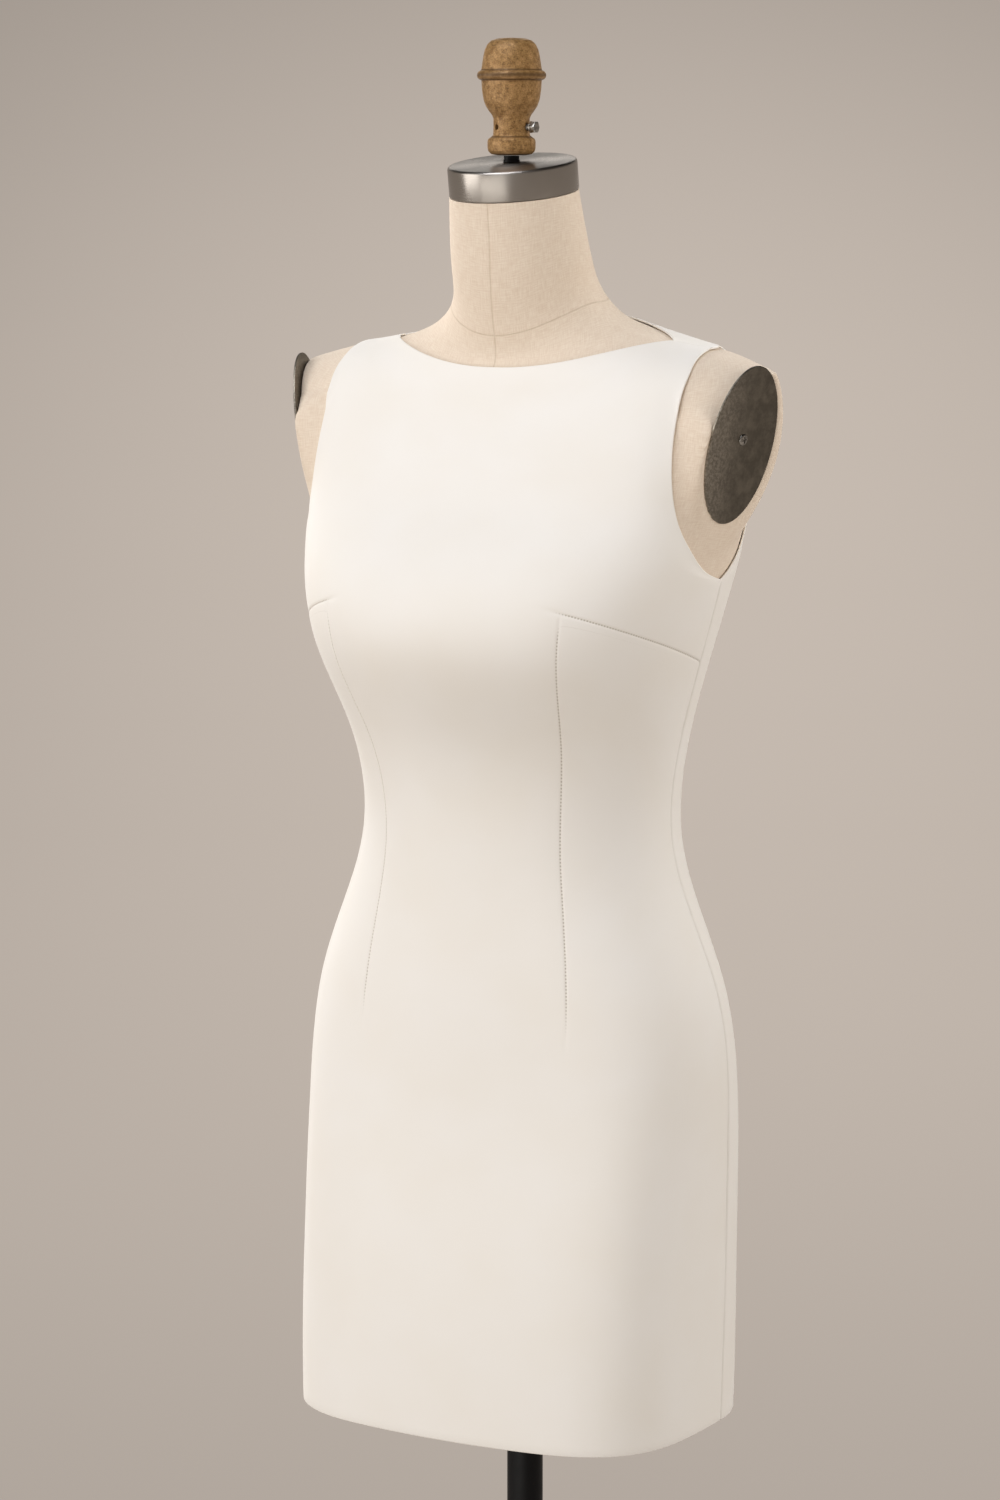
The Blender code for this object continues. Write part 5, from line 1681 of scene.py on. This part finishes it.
    def _plate(self, side: Side) -> None:
        """An oval plate with a rolled edge."""
        wide, tall = PLATES.size
        rest_selection()
        bpy.ops.mesh.primitive_circle_add(vertices=96, radius=1.0, fill_type="NGON",
                                          location=(0, 0, self.plate_foot))
        plate = bpy.context.object
        plate.scale = (wide / 2, tall / 2, 1)
        bpy.ops.object.transform_apply()
        bpy.ops.object.mode_set(mode="EDIT")
        bpy.ops.mesh.select_mode(type="FACE")
        bpy.ops.mesh.select_all(action="SELECT")
        rise = self.plate_top - self.plate_foot
        bpy.ops.mesh.extrude_region_move(TRANSFORM_OT_translate={"value": (0, 0, rise - 0.0003)})
        bpy.ops.mesh.extrude_region_move(TRANSFORM_OT_translate={"value": (0, 0, 0.0003)})
        bpy.ops.transform.resize(value=(1 - 0.0006 / wide, 1 - 0.0006 / tall, 1), center_override=(0, 0, 0))
        bpy.ops.mesh.inset(thickness=0.0010, depth=0)
        bpy.ops.mesh.inset(thickness=0.0006, depth=0)
        bpy.ops.transform.translate(value=(0, 0, -0.0002))
        bpy.ops.mesh.select_all(action="SELECT")
        bpy.ops.mesh.normals_make_consistent(inside=False)
        rest_selection()
        settle(plate, f"arm_plate_{side.word}_steel", PLATES.matrix(side), 30)
        fit_out(plate, self.plate, Body.STAND, Slot.PLATE, f"arm_plate_{side.word}")

    def _screw(self, side: Side) -> None:
        """A pan-head screw with a cross recess."""
        radius, height = self.screw_radius, self.screw_height
        outline = ((radius, 0.0), (radius, height * 0.25), (radius * 0.95, height * 0.5),
                   (radius * 0.82, height * 0.76),
                   (radius * 0.6, height * 0.92), (radius * 0.3, height * 0.99), (radius * 0.1, height))
        screw = lathe(outline, 40)
        for turn in (0.0, math.pi / 2):
            cut_with(screw, add_box((radius * 1.15, radius * 0.26, height * 1.1), (0, 0, height),
                                    (0, 0, turn + self.screw_turn)))
        place = PLATES.matrix(side) @ Matrix.Translation((0, self.screw_up, self.plate_top - 0.00015))
        fit_out(settle(screw, f"arm_plate_screw_{side.word}_zinc", place), self.zinc, Body.STAND, Slot.ZINC,
                f"arm_plate_screw_{side.word}")


@dataclass
class Stand:
    """Flange with its sleeve, pole and round base."""

    enamel: bpy.types.Material
    top: float = WAIST - 0.2390
    pole_radius: float = 0.0135
    hub: tuple[float, float] = (0.034, 0.020)
    base_radius: float = 0.200
    base_height: float = 0.024

    def build(self) -> None:
        """Make the three pieces."""
        top, inner = self.top, self.pole_radius + 0.0003
        foot = self.base_height + self.hub[1]
        flange = lathe(((0.0200, top - 0.055), (0.0200, top - 0.0115), (0.0208, top - 0.0090),
                        (0.0240, top - 0.0070),
                        (0.0548, top - 0.0060), (0.0550, top - 0.0055), (0.0550, top - 0.0004),
                        (0.0546, top)), 64,
                       round_edges=0.0004)
        rest_selection()
        bpy.ops.mesh.primitive_cylinder_add(vertices=64, radius=inner, depth=0.2, location=(0, 0, top))
        cut_with(flange, bpy.context.object)
        pole = lathe(((self.pole_radius, foot + 0.0003), (self.pole_radius, top)), 64, round_edges=0.0004)
        hub_radius = self.hub[0]
        base = lathe(((self.base_radius - 0.003, 0.0), (self.base_radius, 0.003), (self.base_radius, 0.010),
                      (self.base_radius - 0.0025, 0.0138),
                      (self.base_radius - 0.008, self.base_height - 0.007),
                      (self.base_radius - 0.030, self.base_height - 0.002),
                      (hub_radius + 0.010, self.base_height),
                      (hub_radius + 0.003, self.base_height + 0.0012),
                      (hub_radius, self.base_height + 0.004),
                      (hub_radius * 0.74, foot - 0.0035), (hub_radius * 0.68, foot - 0.001),
                      (hub_radius * 0.62, foot)), 128, round_edges=0.0008)
        for piece, name, node in ((flange, "stand_flange_enamel", "form_flange"),
                                  (pole, "stand_pole_enamel", "stand_pole"),
                                  (base, "stand_base_enamel", "stand_base")):
            fit_out(settle(piece, name, Matrix.Identity(4)), self.enamel, Body.STAND, Slot.BLACK, node)


# ---------------------------------------------------------------- the studio


@dataclass(frozen=True)
class Lamp:
    """A soft box, placed by its direction from the form."""

    name: str
    azimuth: float      # degrees from straight ahead of the form, towards the wearer's left
    elevation: float
    distance: float
    size: tuple[float, float]
    power: float
    colour: str
    aim: tuple[float, float, float] = (0.0, 0.0, 1.10)
    glossy: bool = True
    diffuse: bool = True

    def build(self) -> None:
        """Add the lamp."""
        azimuth, elevation = math.radians(self.azimuth), math.radians(self.elevation)
        away = Vector((math.sin(azimuth) * math.cos(elevation), -math.cos(azimuth) * math.cos(elevation),
                       math.sin(elevation)))
        rest_selection()
        bpy.ops.object.light_add(type="AREA", location=Vector(self.aim) + away * self.distance)
        lamp = bpy.context.object
        lamp.name = self.name
        lamp.rotation_euler = away.to_track_quat("Z", "Y").to_euler()
        lamp.data.shape = "RECTANGLE"
        lamp.data.size, lamp.data.size_y = self.size
        lamp.data.energy = self.power
        lamp.data.color = linear(self.colour)[:3]
        lamp.data.spread = math.radians(165)
        lamp.visible_glossy = self.glossy
        lamp.visible_diffuse = self.diffuse


@dataclass
class Studio:
    """Camera, lamps, ambient light and the paper sweep."""

    paper: bpy.types.Material
    camera_place: tuple[float, float, float] = (1.4254, -2.6398, 1.5401)
    camera_azimuth: float = math.radians(28.73)
    camera_pitch: float = math.radians(8.49)
    lens: float = 98.47
    ambient: str = "EDE6DE"
    ambient_strength: float = 0.02
    lamps: tuple[Lamp, ...] = (
        Lamp("top", -10.0, 62.0, 3.0, (2.0, 2.0), 44.0, "F6F9FF"),
        Lamp("left", -50.0, 10.0, 3.4, (2.0, 2.4), 32.0, "FFFCF9"),
        Lamp("low", -8.0, -17.0, 3.4, (3.0, 1.2), 28.0, "FFFCF7"),
        Lamp("right", 85.0, 15.0, 3.6, (1.6, 2.4), 37.0, "FFFCF9", glossy=False),
        Lamp("rim_left", -120.0, 20.0, 3.6, (1.6, 2.2), 78.0, "FFFDFA", glossy=False),
        Lamp("rim_right", 145.0, 25.0, 3.6, (1.6, 2.2), 46.0, "FFFDFA", glossy=False),
        Lamp("crown", -150.0, 24.0, 3.4, (1.6, 1.0), 2.8, "FFFDFA", aim=(0.0, 0.0, 1.50), diffuse=False),
    )

    def build(self) -> None:
        """Set the studio up."""
        self._camera()
        for lamp in self.lamps:
            lamp.build()
        world = bpy.data.worlds.new("studio")
        world.use_nodes = True
        sky = world.node_tree.nodes["Background"]
        sky.inputs["Color"].default_value = linear(self.ambient)
        sky.inputs["Strength"].default_value = self.ambient_strength
        bpy.context.scene.world = world
        bpy.context.scene.view_settings.view_transform = "Standard"
        self._sweep()

    def _camera(self) -> None:
        """The camera, at the photograph's place, direction and lens."""
        azimuth, pitch = self.camera_azimuth, self.camera_pitch
        right = Vector((math.cos(azimuth), math.sin(azimuth), 0))
        ahead = Vector((-math.sin(azimuth) * math.cos(pitch), math.cos(azimuth) * math.cos(pitch),
                        -math.sin(pitch)))
        rest_selection()
        bpy.ops.object.camera_add(location=self.camera_place)
        camera = bpy.context.object
        camera.matrix_world = frame_matrix(right, right.cross(ahead), -ahead, self.camera_place)
        camera.data.sensor_width = 36.0
        camera.data.lens = self.lens
        camera.data.clip_end = 100.0
        bpy.context.scene.camera = camera

    def _sweep(self) -> None:
        """A floor that curves up into a round wall far from the form."""
        rings = [(5.0, 0.0)]
        for turn in np.radians(np.linspace(6, 78, 13)):
            rings.append((5.0 + 8.0 * math.sin(turn), 8.0 * (1 - math.cos(turn))))
        rest_selection()
        bpy.ops.mesh.primitive_circle_add(vertices=96, radius=rings[0][0], fill_type="NGON",
                                          location=(0, 0, -0.0005))
        sweep = bpy.context.object
        bpy.ops.object.mode_set(mode="EDIT")
        bpy.ops.mesh.select_mode(type="EDGE")
        bpy.ops.mesh.select_all(action="SELECT")
        radius, height = rings[0]
        for next_radius, next_height in rings[1:]:
            bpy.ops.mesh.extrude_edges_move(TRANSFORM_OT_translate={"value": (0, 0, next_height - height)})
            share = next_radius / radius
            bpy.ops.transform.resize(value=(share, share, 1), center_override=(0, 0, next_height))
            radius, height = next_radius, next_height
        settle(sweep, "paper_sweep", Matrix.Identity(4), 60)
        sweep.data.materials.append(self.paper)
        sweep.visible_shadow = False


# ---------------------------------------------------------------- the whole


def main() -> None:
    """Build the form, the dress and the studio."""
    logging.basicConfig(level=logging.INFO, format="%(message)s")
    crepe = Crepe("white matte crepe", "F4F0EA", 0.66).build()
    linen = Linen("natural plain-weave linen", "EDDECB", 0.88).build()
    steel = SpunSteel("spun brushed steel", "B3ADA6", 0.30, 1.0, centre=CAP.centre, tilt=CAP.tilt).build()
    wood = GiltBeech("gold-lacquered beech", "A6804E", 0.40, 0.30, foot=Hardware.finial_foot).build()
    zinc = WornMetal("zinc-plated steel", "8E8A84", 0.34, 1.0, worn="D6D2CB", patch=3.0).build()
    plate = WornMetal("dull plated steel sheet", "6B655B", 0.38, 0.9, worn="837C70", patch=12.0,
                      lit_rub_from=-0.050, lit_rub_to=0.000).build()
    black = Enamel("black baked enamel", "08080A", 0.50).build()
    zip_enamel = Enamel("white zip enamel", "E9E5DF", 0.34).build()
    paper = PaperSweep("seamless grey-beige paper", "262422", 0.95).build()
    torso = Torso(linen)
    torso.build()
    Hardware(steel, wood, zinc, plate, black).build()
    Stand(black).build()
    Dress(crepe, torso.piece).build()
    Zip(zip_enamel).build()
    Studio(paper).build()


if __name__ == "__main__":
    main()
